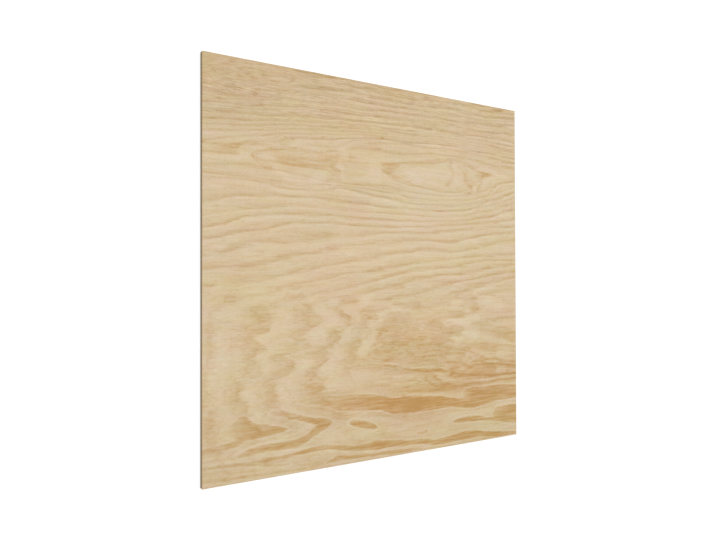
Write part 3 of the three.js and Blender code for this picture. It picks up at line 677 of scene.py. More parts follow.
# Patches with edges, dark where the strength is over 0 and pale where it is below:
# (strength at its left end, at its right end, along, across, along, across, ... of its outline).
patches = {
    "eyes": [
        (0.15, 0.14, 606, 256, 625, 252, 682, 253, 672, 270, 652, 287, 640, 294, 618, 291, 606, 284,
         611, 270), (0.2, 0.24, 404, 273, 430, 274, 440, 286, 456, 292, 454, 304, 430, 300, 408, 288),
        (0.08, 0.08, 401, 302, 430, 304, 431, 328, 404, 328),
        (0.07, 0.07, 462, 266, 500, 262, 556, 258, 552, 300, 500, 330, 465, 328),
        (-0.07, -0.06, 558, 252, 596, 252, 606, 300, 600, 326, 560, 328)],
    "first dark column": [
        (0.03, 0.06, 112, 735, 125, 722, 150, 712, 190, 713, 205, 735, 215, 752, 212, 772, 205, 788,
         185, 797, 165, 804, 140, 802, 118, 790, 110, 760),
        (0.02, 0.06, 112, 806, 130, 803, 150, 815, 172, 822, 190, 832, 202, 845, 195, 850, 168, 855,
         140, 852, 125, 832, 112, 825),
        (0.01, 0.07, 113, 854, 140, 853, 160, 858, 172, 875, 184, 893, 184, 912, 178, 925, 150, 926,
         120, 922, 112, 905, 118, 880),
        (0.02, 0.06, 88, 930, 112, 928, 113, 942, 112, 955, 118, 970, 116, 984, 106, 985, 118, 1003,
         132, 1017, 145, 1040, 120, 1044, 90, 1035, 78, 1000, 85, 960)],
    "second dark column": [
        (0.05, 0.09, 285, 748, 296, 728, 345, 720, 362, 735, 380, 750, 388, 768, 375, 780, 350, 788,
         335, 800, 322, 811, 300, 805, 290, 780),
        (0.02, 0.05, 290, 813, 325, 816, 338, 830, 345, 848, 330, 851, 300, 850, 290, 835),
        (0.05, 0.05, 305, 862, 345, 853, 390, 856, 432, 867, 425, 873, 385, 876, 350, 881, 310, 877),
        (0.05, 0.06, 212, 860, 240, 858, 262, 868, 284, 880, 292, 892, 280, 904, 262, 918, 230, 922,
         208, 918, 212, 885),
        (0.02, 0.04, 166, 962, 180, 950, 212, 950, 226, 964, 238, 974, 226, 990, 214, 1004, 246, 1010,
         268, 1022, 262, 1028, 200, 1028, 176, 1012, 166, 990)],
    "third dark column": [
        (0.04, 0.07, 452, 688, 500, 690, 514, 705, 508, 718, 480, 724, 460, 718, 450, 700),
        (0.03, 0.07, 405, 738, 430, 729, 448, 732, 464, 746, 490, 752, 512, 768, 506, 784, 488, 790,
         478, 780, 465, 762, 440, 750, 415, 748),
        (0.04, 0.07, 396, 803, 425, 794, 458, 796, 464, 815, 445, 828, 440, 840, 408, 842, 398, 825),
        (0.05, 0.09, 352, 883, 408, 886, 392, 898, 376, 910, 358, 925, 372, 935, 404, 948, 392, 955,
         360, 950, 345, 930, 345, 900),
        (0.08, 0.12, 316, 958, 352, 953, 384, 960, 392, 970, 386, 982, 352, 988, 322, 982)],
    "fourth dark column": [
        (0.04, 0.06, 500, 728, 552, 724, 585, 740, 598, 756, 590, 770, 560, 768, 552, 790, 540, 795,
         528, 780, 515, 760),
        (0.03, 0.06, 462, 842, 500, 836, 530, 828, 528, 842, 515, 858, 502, 872, 475, 874, 462, 862),
        (0.04, 0.08, 520, 882, 560, 870, 600, 862, 612, 880, 600, 900, 560, 905, 530, 900),
        (0.06, 0.07, 62, 682, 100, 680, 108, 700, 84, 706, 62, 700),
        (0.06, 0.07, 255, 680, 318, 676, 322, 694, 290, 700, 258, 698),
        (0.08, 0.08, 345, 714, 360, 700, 378, 690, 400, 682, 400, 705, 385, 716, 350, 722)],
    "pale flames": [
        (-0.07, -0.07, 28, 745, 50, 738, 66, 755, 64, 800, 68, 850, 66, 900, 50, 915, 30, 930, 22, 905,
         38, 870, 44, 820, 36, 780),
        (-0.05, -0.07, 150, 812, 175, 801, 212, 785, 216, 806, 208, 826, 190, 828, 165, 818),
        (-0.03, -0.05, 222, 722, 262, 730, 266, 775, 284, 785, 286, 850, 255, 856, 218, 850, 216, 792,
         226, 760),
        (-0.07, -0.07, 336, 806, 352, 792, 388, 788, 396, 798, 394, 845, 372, 842, 350, 838, 345, 815),
        (-0.07, -0.08, 378, 772, 412, 757, 450, 759, 465, 770, 468, 786, 430, 790, 396, 787),
        (-0.06, -0.07, 468, 800, 500, 796, 545, 806, 552, 822, 528, 826, 500, 834, 466, 838),
        (-0.04, -0.05, 534, 840, 572, 826, 582, 846, 568, 866, 530, 877, 508, 876, 522, 858),
        (-0.05, -0.05, 188, 864, 208, 858, 206, 900, 206, 938, 190, 944, 188, 905),
        (-0.06, -0.07, 222, 937, 262, 933, 300, 940, 306, 955, 300, 1000, 262, 1004, 228, 998, 242, 975,
         222, 955), (-0.05, -0.07, 298, 884, 330, 883, 346, 892, 342, 915, 320, 925, 300, 916, 296, 900),
        (-0.06, -0.04, 122, 938, 150, 934, 176, 947, 162, 960, 160, 995, 135, 1005, 114, 987, 122, 970),
        (-0.07, -0.06, 380, 910, 430, 897, 470, 905, 500, 915, 440, 920, 385, 922),
        (-0.08, -0.08, 396, 972, 418, 956, 470, 951, 500, 962, 498, 985, 455, 991, 410, 988),
        (-0.08, -0.08, 480, 930, 520, 924, 562, 932, 566, 948, 530, 956, 490, 948),
        (-0.06, -0.05, 572, 780, 596, 762, 606, 780, 602, 798, 580, 800),
        (-0.06, -0.06, 352, 722, 400, 726, 420, 735, 400, 750, 388, 746, 368, 732),
        (-0.06, -0.06, 520, 685, 560, 682, 620, 690, 620, 696, 545, 712, 520, 715),
        (-0.04, -0.05, 118, 668, 225, 664, 240, 690, 215, 710, 170, 706, 120, 700),
        (-0.06, -0.06, 400, 692, 446, 693, 444, 715, 410, 722),
        (-0.05, -0.06, 596, 742, 640, 726, 690, 730, 720, 744, 680, 738, 630, 750, 604, 790, 590, 788)],
    "right of the curly grain": [
        (-0.06, -0.08, 1040, 710, 1085, 706, 1150, 720, 1160, 738, 1110, 748, 1062, 744, 1050, 728),
        (-0.1, -0.14, 904, 846, 945, 838, 958, 808, 1000, 806, 1040, 820, 1034, 848, 990, 862, 950, 857,
         905, 852),
        (-0.1, -0.12, 880, 778, 930, 771, 965, 774, 1010, 777, 1035, 760, 1044, 780, 980, 797, 930, 797),
        (-0.09, -0.1, 1040, 828, 1075, 838, 1120, 860, 1110, 871, 1060, 862, 1036, 845),
        (-0.09, -0.09, 1030, 892, 1060, 888, 1110, 900, 1112, 922, 1080, 922, 1050, 908),
        (-0.09, -0.07, 900, 710, 962, 710, 970, 728, 905, 729),
        (-0.09, -0.09, 1118, 900, 1195, 905, 1200, 935, 1120, 928),
        (0.07, 0.09, 885, 746, 960, 752, 962, 767, 890, 766),
        (0.09, 0.1, 888, 801, 956, 805, 956, 825, 895, 821),
        (0.07, 0.09, 1130, 815, 1220, 828, 1220, 866, 1180, 868, 1120, 848),
        (0.07, 0.07, 960, 870, 1040, 874, 1110, 880, 1060, 886, 1010, 890, 960, 900)],
    "curly grain": [
        (0.05, 0.08, 612, 806, 660, 800, 745, 790, 800, 800, 830, 830, 850, 870, 880, 890, 870, 940,
         800, 945, 700, 932, 620, 910, 600, 870),
        (0.05, 0.07, 745, 890, 815, 888, 880, 884, 885, 918, 800, 924, 745, 918),
        (0.08, 0.1, 735, 943, 770, 940, 815, 944, 890, 948, 890, 964, 850, 962, 810, 960, 760, 955),
        (0.04, 0.05, 885, 955, 930, 962, 962, 968, 962, 980, 920, 974, 885, 968),
        (-0.1, -0.1, 640, 955, 700, 958, 740, 962, 720, 970, 660, 968),
        (-0.08, -0.08, 880, 980, 930, 984, 960, 992, 950, 1000, 900, 994),
        (0.1, 0.11, 700, 1003, 735, 1000, 820, 1000, 815, 1016, 740, 1017),
        (0.08, 0.07, 885, 998, 925, 1000, 925, 1022, 885, 1018)],
    "tan above the amber band": [
        (0.08, 0.12, 600, 975, 680, 985, 900, 1000, 960, 1010, 900, 1032, 740, 1022, 650, 1008, 600, 997)],
    "above the second amber band": [
        (0.09, 0.14, 958, 944, 1000, 950, 1035, 948, 1110, 948, 1118, 972, 1110, 986, 1086, 994, 1060, 980,
         1000, 974, 965, 965),
        (0.14, 0.14, 1074, 980, 1110, 983, 1160, 983, 1220, 982, 1220, 995, 1160, 993, 1110, 995,
         1078, 1000), (0.04, 0.04, 970, 978, 1020, 974, 1072, 976, 1060, 981, 1000, 986),
        (0.1, 0.12, 1110, 1002, 1160, 1003, 1220, 1002, 1220, 1012, 1150, 1011),
        (0.04, 0.06, 920, 996, 975, 1000, 1000, 1008, 960, 1016, 925, 1008),
        (-0.1, -0.11, 1072, 1008, 1120, 1012, 1165, 1014, 1160, 1021, 1100, 1022),
        (-0.05, -0.05, 925, 1022, 955, 1022, 962, 1040, 955, 1052, 925, 1046),
        (0.11, 0.16, 900, 1045, 930, 1052, 970, 1056, 960, 1063, 905, 1060)],
    "near side": [
        (-0.1, -0.11, 350, 1135, 376, 1106, 415, 1090, 470, 1080, 482, 1094, 500, 1112, 560, 1126,
         600, 1131, 600, 1148, 540, 1150, 420, 1144),
        (-0.11, -0.1, 640, 1118, 720, 1122, 850, 1132, 895, 1106, 1000, 1102, 1090, 1106, 1100, 1118,
         1030, 1128, 960, 1122, 905, 1130, 880, 1166, 760, 1168, 690, 1160, 620, 1142),
        (-0.1, -0.1, 1000, 1160, 1100, 1166, 1180, 1180, 1190, 1192, 1100, 1186, 1040, 1178),
        (-0.08, -0.11, 1108, 1082, 1130, 1078, 1195, 1080, 1195, 1098, 1120, 1100),
        (0.08, 0.08, 640, 1086, 720, 1089, 880, 1085, 1000, 1099, 900, 1103, 800, 1118, 700, 1110,
         650, 1100),
        (-0.08, -0.08, 170, 1008, 190, 1030, 250, 1052, 262, 1062, 200, 1058, 160, 1040, 148, 1015),
        (0.06, 0.08, 0, 1030, 40, 1032, 60, 1055, 40, 1072, 0, 1070)],
}

# Lines of the grain drawn one by one from left to right, dark with a pale near side:
# (strength, along, across, along, across, ...).
grainLines = {
    "far side": [
        (0.14, 290, 52, 400, 45, 500, 38), (0.18, 560, 65, 750, 62), (0.12, 400, 112, 480, 112),
        (0.18, 580, 106, 820, 106), (0.2, 480, 131, 600, 125, 760, 120, 820, 121),
        (0.16, 650, 148, 750, 148), (0.21, 800, 40, 900, 35, 960, 45, 1080, 43, 1220, 33),
        (0.14, 100, 250, 125, 243, 150, 232, 220, 228, 270, 214, 350, 205, 430, 198, 470, 190, 550, 183,
         610, 174), (0.29, 610, 175, 700, 178, 800, 169, 930, 166), (0.18, 1030, 177, 1120, 174),
        (0.26, 1150, 183, 1220, 183), (0.26, 1150, 200, 1220, 200), (0.12, 0, 188, 50, 182, 130, 176),
        (0.12, 0, 218, 60, 216, 110, 213), (0.12, 0, 281, 90, 276, 112, 262)],
    "round the small eye": [
        (0.16, 300, 232, 360, 228, 430, 224, 450, 217, 490, 198), (0.14, 378, 240, 400, 244),
        (0.18, 400, 238, 432, 234), (0.14, 497, 222, 510, 215, 530, 211, 600, 214),
        (0.18, 400, 328, 450, 329, 469, 334, 562, 334, 600, 337, 681, 343)],
    "round the big eye": [
        (0.14, 960, 228, 1010, 236, 1040, 233),
        (0.18, 1085, 322, 1108, 303, 1122, 283, 1160, 276, 1210, 268),
        (0.18, 1120, 320, 1145, 298, 1158, 290, 1210, 284), (0.28, 1165, 322, 1200, 312, 1215, 308),
        (0.2, 1060, 347, 1100, 347, 1128, 344, 1160, 328, 1190, 322),
        (0.15, 1010, 375, 1040, 368, 1075, 352), (0.18, 1115, 368, 1150, 362, 1180, 358),
        (0.14, 1085, 225, 1120, 232), (0.14, 1120, 240, 1145, 246), (0.14, 1135, 208, 1160, 214),
        (0.14, 1165, 222, 1190, 220, 1215, 214), (0.15, 965, 337, 985, 340),
        (0.25, 1100, 408, 1125, 398, 1150, 385, 1200, 377), (0.15, 1150, 418, 1210, 415)],
    "middle left": [
        (0.14, 0, 338, 50, 338, 100, 342, 150, 347, 215, 350),
        (0.14, 225, 362, 265, 367, 335, 360, 375, 347, 410, 342),
        (0.18, 15, 420, 50, 412, 70, 400, 130, 394, 190, 386, 220, 384, 265, 390, 350, 383, 375, 386,
         410, 393), (0.12, 350, 393, 375, 401, 410, 403), (0.12, 30, 433, 65, 430, 90, 423),
        (0.14, 115, 431, 135, 434, 180, 429, 260, 420),
        (0.22, 15, 490, 65, 480, 95, 466, 130, 455, 165, 449, 215, 441, 300, 440, 350, 443, 410, 437),
        (0.18, 200, 490, 235, 474, 290, 466, 330, 467, 410, 458),
        (0.16, 15, 525, 60, 516, 80, 503, 100, 500, 150, 498, 200, 500),
        (0.12, 165, 527, 190, 524, 260, 527), (0.12, 320, 527, 350, 523, 410, 517),
        (0.12, 70, 555, 120, 543), (0.14, 225, 572, 260, 566, 300, 563, 410, 555),
        (0.14, 115, 600, 150, 600, 195, 592, 235, 580), (0.12, 265, 620, 300, 612, 325, 600),
        (0.12, 162, 645, 190, 645), (0.14, 230, 665, 265, 655, 300, 650, 345, 645)],
    "middle": [
        (0.12, 410, 347, 470, 350), (0.2, 470, 350, 550, 360, 575, 367, 670, 371, 690, 378),
        (0.18, 440, 341, 480, 344, 531, 344, 600, 349, 681, 348),
        (0.14, 680, 350, 720, 367, 770, 368, 780, 375), (0.16, 550, 392, 600, 400, 670, 400),
        (0.14, 715, 378, 770, 388, 810, 393), (0.14, 720, 401, 810, 404),
        (0.14, 590, 418, 740, 419, 780, 423),
        (0.14, 400, 437, 480, 445, 600, 443, 690, 443, 720, 440, 810, 442),
        (0.18, 400, 458, 500, 465, 600, 466, 675, 465, 735, 457, 810, 460),
        (0.14, 490, 500, 560, 498, 600, 486, 670, 482, 810, 478),
        (0.14, 555, 522, 600, 510, 700, 501, 810, 500), (0.12, 620, 553, 700, 547, 745, 543),
        (0.14, 640, 600, 680, 592, 740, 580), (0.14, 530, 615, 570, 613, 620, 606),
        (0.2, 610, 628, 640, 625, 700, 612, 735, 604, 775, 597, 810, 597),
        (0.12, 550, 645, 590, 640, 620, 632), (0.12, 700, 638, 740, 630, 810, 630)],
    "middle right": [
        (0.2, 820, 392, 850, 387, 950, 376, 1000, 372), (0.28, 820, 403, 880, 398, 950, 394, 1000, 385),
        (0.17, 1000, 420, 1050, 410, 1100, 404), (0.2, 855, 450, 880, 446, 960, 440, 1040, 431),
        (0.17, 1050, 430, 1150, 418, 1200, 415), (0.17, 1000, 450, 1050, 443, 1200, 440),
        (0.17, 895, 470, 960, 458, 1000, 455), (0.17, 820, 478, 860, 475, 890, 470),
        (0.16, 820, 505, 900, 507, 960, 495, 1040, 480, 1110, 466, 1200, 460),
        (0.12, 1040, 510, 1070, 507, 1125, 500), (0.14, 890, 545, 960, 535, 1000, 530, 1030, 525),
        (0.14, 960, 558, 1000, 555, 1160, 552, 1200, 548),
        (0.14, 960, 572, 1045, 567, 1080, 563, 1200, 564), (0.12, 1100, 580, 1150, 582, 1200, 577),
        (0.14, 820, 597, 870, 595, 960, 592),
        (0.13, 820, 620, 930, 620, 1000, 617, 1030, 608, 1080, 596, 1200, 588),
        (0.1, 890, 613, 925, 618, 960, 625),
        (0.11, 800, 645, 950, 645, 1000, 637, 1050, 628, 1120, 614, 1220, 608), (0.1, 890, 648, 930, 645),
        (0.11, 960, 655, 1040, 652, 1070, 648, 1100, 640, 1120, 631, 1220, 626)],
}

# Fine dark lines: (strength, along, across, along, across, ...). There are two lists, because the
# lines of one list stay 15 mm apart.
fineLines = (
    [(0.24, 148, 275, 155, 264, 165, 261, 185, 256, 225, 253, 245, 250, 265, 247, 280, 242, 300, 238),
     (0.18, 610, 258, 660, 253, 700, 248, 718, 241, 760, 239, 820, 236, 850, 230, 875, 226, 890, 216,
      900, 212, 925, 210, 965, 207),
     (0.2, 608, 282, 640, 290, 700, 303, 718, 310, 745, 318, 790, 325, 850, 333, 900, 330, 955, 328,
      975, 327), (0.18, 930, 238, 953, 243, 960, 255, 967, 262),
     (0.18, 1055, 258, 1050, 270, 1045, 290, 1036, 300, 1026, 314)],
    [(0.24, 150, 278, 160, 290, 172, 297, 185, 303, 190, 308, 210, 306)],
)


figureMounds = {"darkness": darknessMounds, "tone": toneMounds, "wander": wanderMounds,
                "softness": softnessMounds, "curl": curlMounds, "busy": busyMounds,
                "flameShare": flameMounds, "warmth": warmthMounds, "grey": greyMounds}

# The back has no marks, and its values are the same all over; what isn't named here is 0.
backFigure = {"darkness": 0.42, "tone": 0.22, "wander": 0.7, "softness": 0.2, "busy": 0.2, "grey": 0.16,
              "bandDepth": -figure["bandReach"], "patchDepth": -figure["patchReach"],
              "lineA": figure["lineReach"], "lineB": figure["lineReach"]}
backArches = {
    "rings": 9,  # from the heart outward, over each width
    "heart": 560,  # mm from the far side at the left end
    "lean": 0.06,  # mm that the heart moves across for each mm along
    "width": 130,  # mm
    "fall": 5.5,  # rings lost from the left end to the right one
}


def mound(along, across, row, flatness):
    # height x exp(-(u squared + v squared) to the power flatness): a bell when flatness is 1 and a
    # hill with a flat top above that. Its axis is slanted across the grain
    s, t, halfLength, halfWidth, height, slant = row
    u = (along - s) / halfLength
    v = (across - t - slant * (along - s)) / halfWidth
    return height * np.exp(-((u * u + v * v) ** flatness))


def mounds(along, across, rows, flatness=1.5):
    # the value that holds everywhere, where one is given, + the sum of the mounds
    total = np.zeros(along.shape)
    for name, row in rows.items():
        total += row if name == "everywhere" else mound(along, across, row, flatness)
    return total


def eased(values, width):
    # rounds off corners: each value is the mean of its neighbours, weighed by a bell this many wide
    window = np.hanning(width + 2)[1:-1]
    padded = np.pad(values, width // 2, mode="edge")
    return np.convolve(padded, window / window.sum(), mode="valid")


def growthField(along, across):
    # each section is read at the point's distance from the far side, a smooth curve (Catmull-Rom)
    # is carried through the sections along the grain, and the mounds are added
    side = figure["side"]
    millimetres = np.arange(side + 1)
    sections = [np.array(growthSections[place]).T for place in sorted(growthSections)]
    window = figure["sectionEasing"]
    lines = np.array([eased(np.interp(millimetres, *section), window) for section in sections])
    lines = np.vstack([2 * lines[0] - lines[1], lines, 2 * lines[-1] - lines[-2]])
    position = np.clip(along / side, 0, 1 - 1e-9) * (len(sections) - 1)
    first = position.astype(int)
    f = position - first
    down = np.clip(across, 0, side - 1e-3)
    row = down.astype(int)
    rest = down - row
    near = [lines[first + k, row] * (1 - rest) + lines[first + k, row + 1] * rest for k in range(4)]
    a, b, c, d = near
    rings = b + 0.5 * f * (c - a + f * (2 * a - 5 * b + 4 * c - d + f * (3 * (b - c) + d - a)))
    return rings + mounds(along, across, growthMounds, flatness=1)


def bandFields(along, across):
    # depth: how far inside the nearest dark band a point lies, half width - distance from its middle
    # line, less than 0 outside, in mm. strength: the mean of the bands' strengths, each weighed by
    # exp(depth / the blend)
    side, margin = figure["side"], 60
    millimetres = np.arange(-margin, side + margin + 1)
    lineWindow, widthWindow = figure["bandEasing"]
    deepest = np.full(along.shape, -figure["bandReach"])
    weights, shades = np.full(along.shape, 1e-6), np.zeros(along.shape)
    for rows in darkBands.values():
        s, t, halfWidth, strength = np.array(rows, float).T
        middle = eased(np.interp(millimetres, s, t), lineWindow)
        width = eased(np.interp(millimetres, s, halfWidth), widthWindow)
        # a band that stops short of the sheet's end is closed there
        beyond = np.maximum(s[0] - along, along - s[-1])
        sealed = np.maximum(beyond, 0)
        sealed = sealed * ((s[0] > 0) | (along > s[-1])) * ((s[-1] < side) | (along < s[0]))
        away = np.abs(across - np.interp(along, millimetres, middle))
        depth = np.interp(along, millimetres, width) - away - sealed
        weight = np.exp(np.clip(depth / figure["bandBlend"], -12, 6))
        deepest = np.maximum(deepest, depth)
        weights += weight
        shades += weight * np.interp(along, s, strength)
    return deepest, shades / weights


def flameField(along, across):
    # counts the flames passed from the left: between two edges it rises evenly from one whole number
    # to the next
    before, after = figure["flameEnds"]
    places = [np.interp(across, *np.array(edge, float).T) for edge in flameEdges]
    places = [places[0] - before, *places, places[-1] + after]
    passed = [np.clip((along - low) / (high - low), 0, 1) for low, high in zip(places[:-1], places[1:])]
    return sum(passed)


def boxRound(along, across, places, margin):
    # which points lie in the box round these places, widened by a margin, and the box's ends
    low, high = places.min(0) - margin, places.max(0) + margin
    near = (along > low[0]) & (along < high[0]) & (across > low[1]) & (across < high[1])
    return near, low, high


def nearestOn(along, across, places):
    # for a line of straight pieces: the distance to its nearest piece, signed by the side of it
    nearest, side = np.full(along.shape, 1e6), np.ones(along.shape)
    for start, end in zip(places[:-1], places[1:]):
        run = end - start
        share = ((along - start[0]) * run[0] + (across - start[1]) * run[1]) / (run @ run)
        share = np.clip(share, 0, 1)
        u, v = along - start[0] - share * run[0], across - start[1] - share * run[1]
        distance = np.hypot(u, v)
        side = np.where(distance < nearest, np.sign(run[0] * v - run[1] * u), side)
        nearest = np.minimum(distance, nearest)
    return nearest * side


def nearLine(along, across, numbers, margin):
    # for a line written along, across, along, across, ...: which points lie in the box round it,
    # and how far those are from it
    places = np.array(numbers, float).reshape(-1, 2)
    near = boxRound(along, across, places, margin)[0]
    return near, nearestOn(along[near], across[near], places)


def softMarkField(along, across):
    # the sum of strength x exp(-(distance / half width) squared) over the soft marks
    total = np.zeros(along.shape)
    for row in sum(softMarks.values(), []):
        near, distance = nearLine(along, across, row[2:], figure["markReach"] * row[1])
        total[near] += row[0] * np.exp(-((distance / row[1]) ** 2))
    return total


def grainLineField(along, across):
    # the sum of strength x (exp(-(d / w) squared) - p x exp(-((d - o) / w) squared)) over the lines,
    # d the distance from a line, w its half width, o and p the offset and share of its pale side
    halfWidth, offset, share = figure["grainLine"]
    total = np.zeros(along.shape)
    for row in sum(grainLines.values(), []):
        near, d = nearLine(along, across, row[1:], figure["grainReach"])
        pale = np.exp(-(((d - offset) / halfWidth) ** 2))
        total[near] += row[0] * (np.exp(-((d / halfWidth) ** 2)) - share * pale)
    return total


def patchFields(along, across):
    # the depth inside the nearest outline, in mm, and the strength there, which runs evenly from
    # the left end of a patch to its right end
    reach = figure["patchReach"]
    deepest, strength = np.full(along.shape, -reach), np.zeros(along.shape)
    for row in sum(patches.values(), []):
        places = np.array(row[2:], float).reshape(-1, 2)
        near, low, high = boxRound(along, across, places, reach)
        s, t = along[near], across[near]
        inside = np.zeros(s.shape, bool)  # where a line to the right crosses the outline oddly often
        for start, end in zip(places, np.roll(places, -1, axis=0)):
            if start[1] != end[1]:
                crossing = start[0] + (t - start[1]) * (end[0] - start[0]) / (end[1] - start[1])
                inside ^= ((start[1] > t) != (end[1] > t)) & (s < crossing)
        outline = np.vstack([places, places[:1]])
        depth = np.abs(nearestOn(s, t, outline)) * np.where(inside, 1, -1)
        closer = depth > deepest[near]
        share = np.clip((s - low[0] - reach) / (high[0] - low[0] - 2 * reach), 0, 1)
        strength[near] = np.where(closer, row[0] + share * (row[1] - row[0]), strength[near])
        deepest[near] = np.maximum(depth, deepest[near])
    return deepest, strength


def fineLineFields(along, across, rows):
    # the signed distance to the nearest line, in mm, and its strength, which fades away from it, so
    # that nothing shows where the nearest line changes
    reach = figure["lineReach"]
    fadeStart, fadeEnd = figure["lineFade"]
    nearest, strength = np.full(along.shape, reach), np.zeros(along.shape)
    for row in rows:
        near, distance = nearLine(along, across, row[1:], reach)
        closer = np.abs(distance) < np.abs(nearest[near])
        nearest[near] = np.where(closer, distance, nearest[near])
        fade = np.clip((fadeEnd - np.abs(distance)) / (fadeEnd - fadeStart), 0, 1)
        strength[near] = np.where(closer, row[0] * fade, strength[near])
    return nearest, strength


def backGrowth(along, across):
    # the back's plain arches: rings x root(1 + (distance from the heart / width) squared), less the
    # fall along the sheet
    b = backArches
    fromHeart = (across - b["heart"] - b["lean"] * along) / b["width"]
    return b["rings"] * np.sqrt(1 + fromHeart**2) - b["fall"] * along / figure["side"]


def gridStations(count):
    # count cells along a side: two in each corner's radius, the rest even. Each station is
    # (core place, step): the step runs from 0 to 1 or -1 through the radius of the corner
    half = sheet["halfSide"] - sheet["cornerRadius"]
    inner = np.linspace(-half, half, count - 3)
    core = np.concatenate([[-half] * 2, inner, [half] * 2])
    step = np.concatenate([[-1, -0.5], np.zeros(count - 3), [0.5, 1]])
    return core, step


def planPoints(coreX, stepX, coreY, stepY, setback):
    # core point + (corner radius - setback) x step, with the square of steps squeezed onto a disc
    reach = sheet["cornerRadius"] - setback
    x = coreX + reach * stepX * np.sqrt(1 - stepY**2 / 2)
    y = coreY + reach * stepY * np.sqrt(1 - stepX**2 / 2)
    return x, y


def wallRows():
    # the sawn edge from the back to the face: (height, setback), three rows on each ply and one
    # in the groove of each glue line
    rows, z = [], 0.0
    setbacks = [sheet["crossbandSetback"] if n % 2 else 0.0 for n in range(len(sheet["plies"]))]
    score = sheet["score"]
    for n, (thickness, setback) in enumerate(zip(sheet["plies"], setbacks)):
        if n:
            rows.append((z, max(setback, setbacks[n - 1]) + score))
        rows += [(z + score, setback), (z + thickness / 2, setback), (z + thickness - score, setback)]
        z += thickness
    return rows, z


def rimIndex(columns, rows):
    # the grid's border points in order, anticlockwise seen from above, starting at the corner (0, 0)
    index = np.arange(columns * rows).reshape(columns, rows)
    return np.concatenate([index[:-1, 0], index[-1, :-1], index[:0:-1, -1], index[0, :0:-1]])


def buildSheet():
    # two equal grids, back and face, and the wall's profile carried round their rim
    coreX, stepX = gridStations(sheet["cellsAlong"])
    coreY, stepY = gridStations(sheet["cellsAcross"])
    columns, lines = len(coreX), len(coreY)
    cx, cy = (a.ravel() for a in np.meshgrid(coreX, coreY, indexing="ij"))
    sx, sy = (a.ravel() for a in np.meshgrid(stepX, stepY, indexing="ij"))
    rim = rimIndex(columns, lines)
    rows, top = wallRows()

    flatX, flatY = planPoints(cx, sx, cy, sy, sheet["score"])
    levels = [np.column_stack([flatX, flatY, np.full(flatX.shape, z)]) for z in (0.0, top)]
    wall = []
    for z, setback in rows:
        x, y = planPoints(cx[rim], sx[rim], cy[rim], sy[rim], setback)
        wall.append(np.column_stack([x, y, np.full(x.shape, z)]))
    points = np.vstack(levels + wall)

    cells = np.arange(columns * lines).reshape(columns, lines)
    quads = np.stack([cells[:-1, :-1], cells[1:, :-1], cells[1:, 1:], cells[:-1, 1:]], -1).reshape(-1, 4)
    faceStart, wallStart = columns * lines, 2 * columns * lines
    wallRings = [wallStart + len(rim) * n + np.arange(len(rim)) for n in range(len(rows))]
    rings = [rim, *wallRings, rim + faceStart]
    bands = []
    for low, high in zip(rings[:-1], rings[1:]):
        bands.append(np.stack([low, np.roll(low, -1), np.roll(high, -1), high], -1))
    bands = np.vstack(bands)
    quads = np.vstack([quads[:, ::-1], quads + faceStart, bands])

    mesh = bpy.data.meshes.new("plywoodSheet")
    mesh.vertices.add(len(points))
    mesh.vertices.foreach_set("co", points.ravel())
    mesh.loops.add(quads.size)
    mesh.loops.foreach_set("vertex_index", quads.ravel().astype(np.int32))
    mesh.polygons.add(len(quads))
    mesh.polygons.foreach_set("loop_start", np.arange(0, quads.size, 4, dtype=np.int32))
    flatCount = (columns - 1) * (lines - 1)
    kinds = np.repeat([1, 0, 2], [flatCount, flatCount, len(bands)])  # back, face, edge
    mesh.polygons.foreach_set("material_index", kinds.astype(np.int32))
    mesh.update(calc_edges=True)
    mesh.validate()

    along = 1000 * (sheet["halfSide"] + points[:, 0])  # mm from the left end
    across = 1000 * (sheet["halfSide"] - points[:, 1])  # mm from the far side
    layers = {"growth": growthField(along, across)}
    layers["bandDepth"], layers["bandStrength"] = bandFields(along, across)
    layers["flames"] = flameField(along, across)
    layers["patchDepth"], layers["patchStrength"] = patchFields(along, across)
    layers["mark"] = softMarkField(along, across) + grainLineField(along, across)
    for rows, letter in zip(fineLines, "AB"):
        layers["line" + letter], layers["lineStrength" + letter] = fineLineFields(along, across, rows)
    for name, rows in figureMounds.items():
        layers[name] = mounds(along, across, rows)
    onBack = points[:, 2] < 1e-6
    for name, values in layers.items():
        values[onBack] = backFigure.get(name, 0.0)
    layers["growth"][onBack] = backGrowth(along, across)[onBack]
    for name, values in layers.items():
        storeValues(mesh, name, "POINT", values)
    storeValues(mesh, "endGrain", "FACE", endGrainShare(points, quads, kinds))
    layFlat(mesh, points, quads, kinds)
    print("sheet:", len(points), "points,", len(quads) * 2, "triangles")
    return mesh


def storeValues(mesh, name, domain, values):
    # one number for each point or each face, under a name that the materials read
    attribute = mesh.attributes.new(name, "FLOAT", domain)
    attribute.data.foreach_set("value", np.asarray(values, np.float32))


def endGrainShare(points, quads, kinds):
    # 1 where a ply's fibres run into the wall and 0 where they run with it. Odd plies' fibres run
    # along X, so they end on the walls that face X; the crossbands' end on those that face Y
    middle = points[quads].mean(1)
    ply = np.searchsorted(np.cumsum(sheet["plies"]), middle[:, 2])
    facesX = np.abs(middle[:, 0]) > np.abs(middle[:, 1])
    return np.where(kinds == 2, np.where(ply % 2 == 0, facesX, ~facesX), 0.0)


# where each part starts on the flat map and how wide it is, as shares of the map
flatMap = {
    "margin": 0.004,
    "height": 0.992,
    "face": 0.612,
    "back": (0.624, 0.29),
    "walls": (0.925, 0.018, 0.014),  # the first wall's start, the step to the next, and the width
}


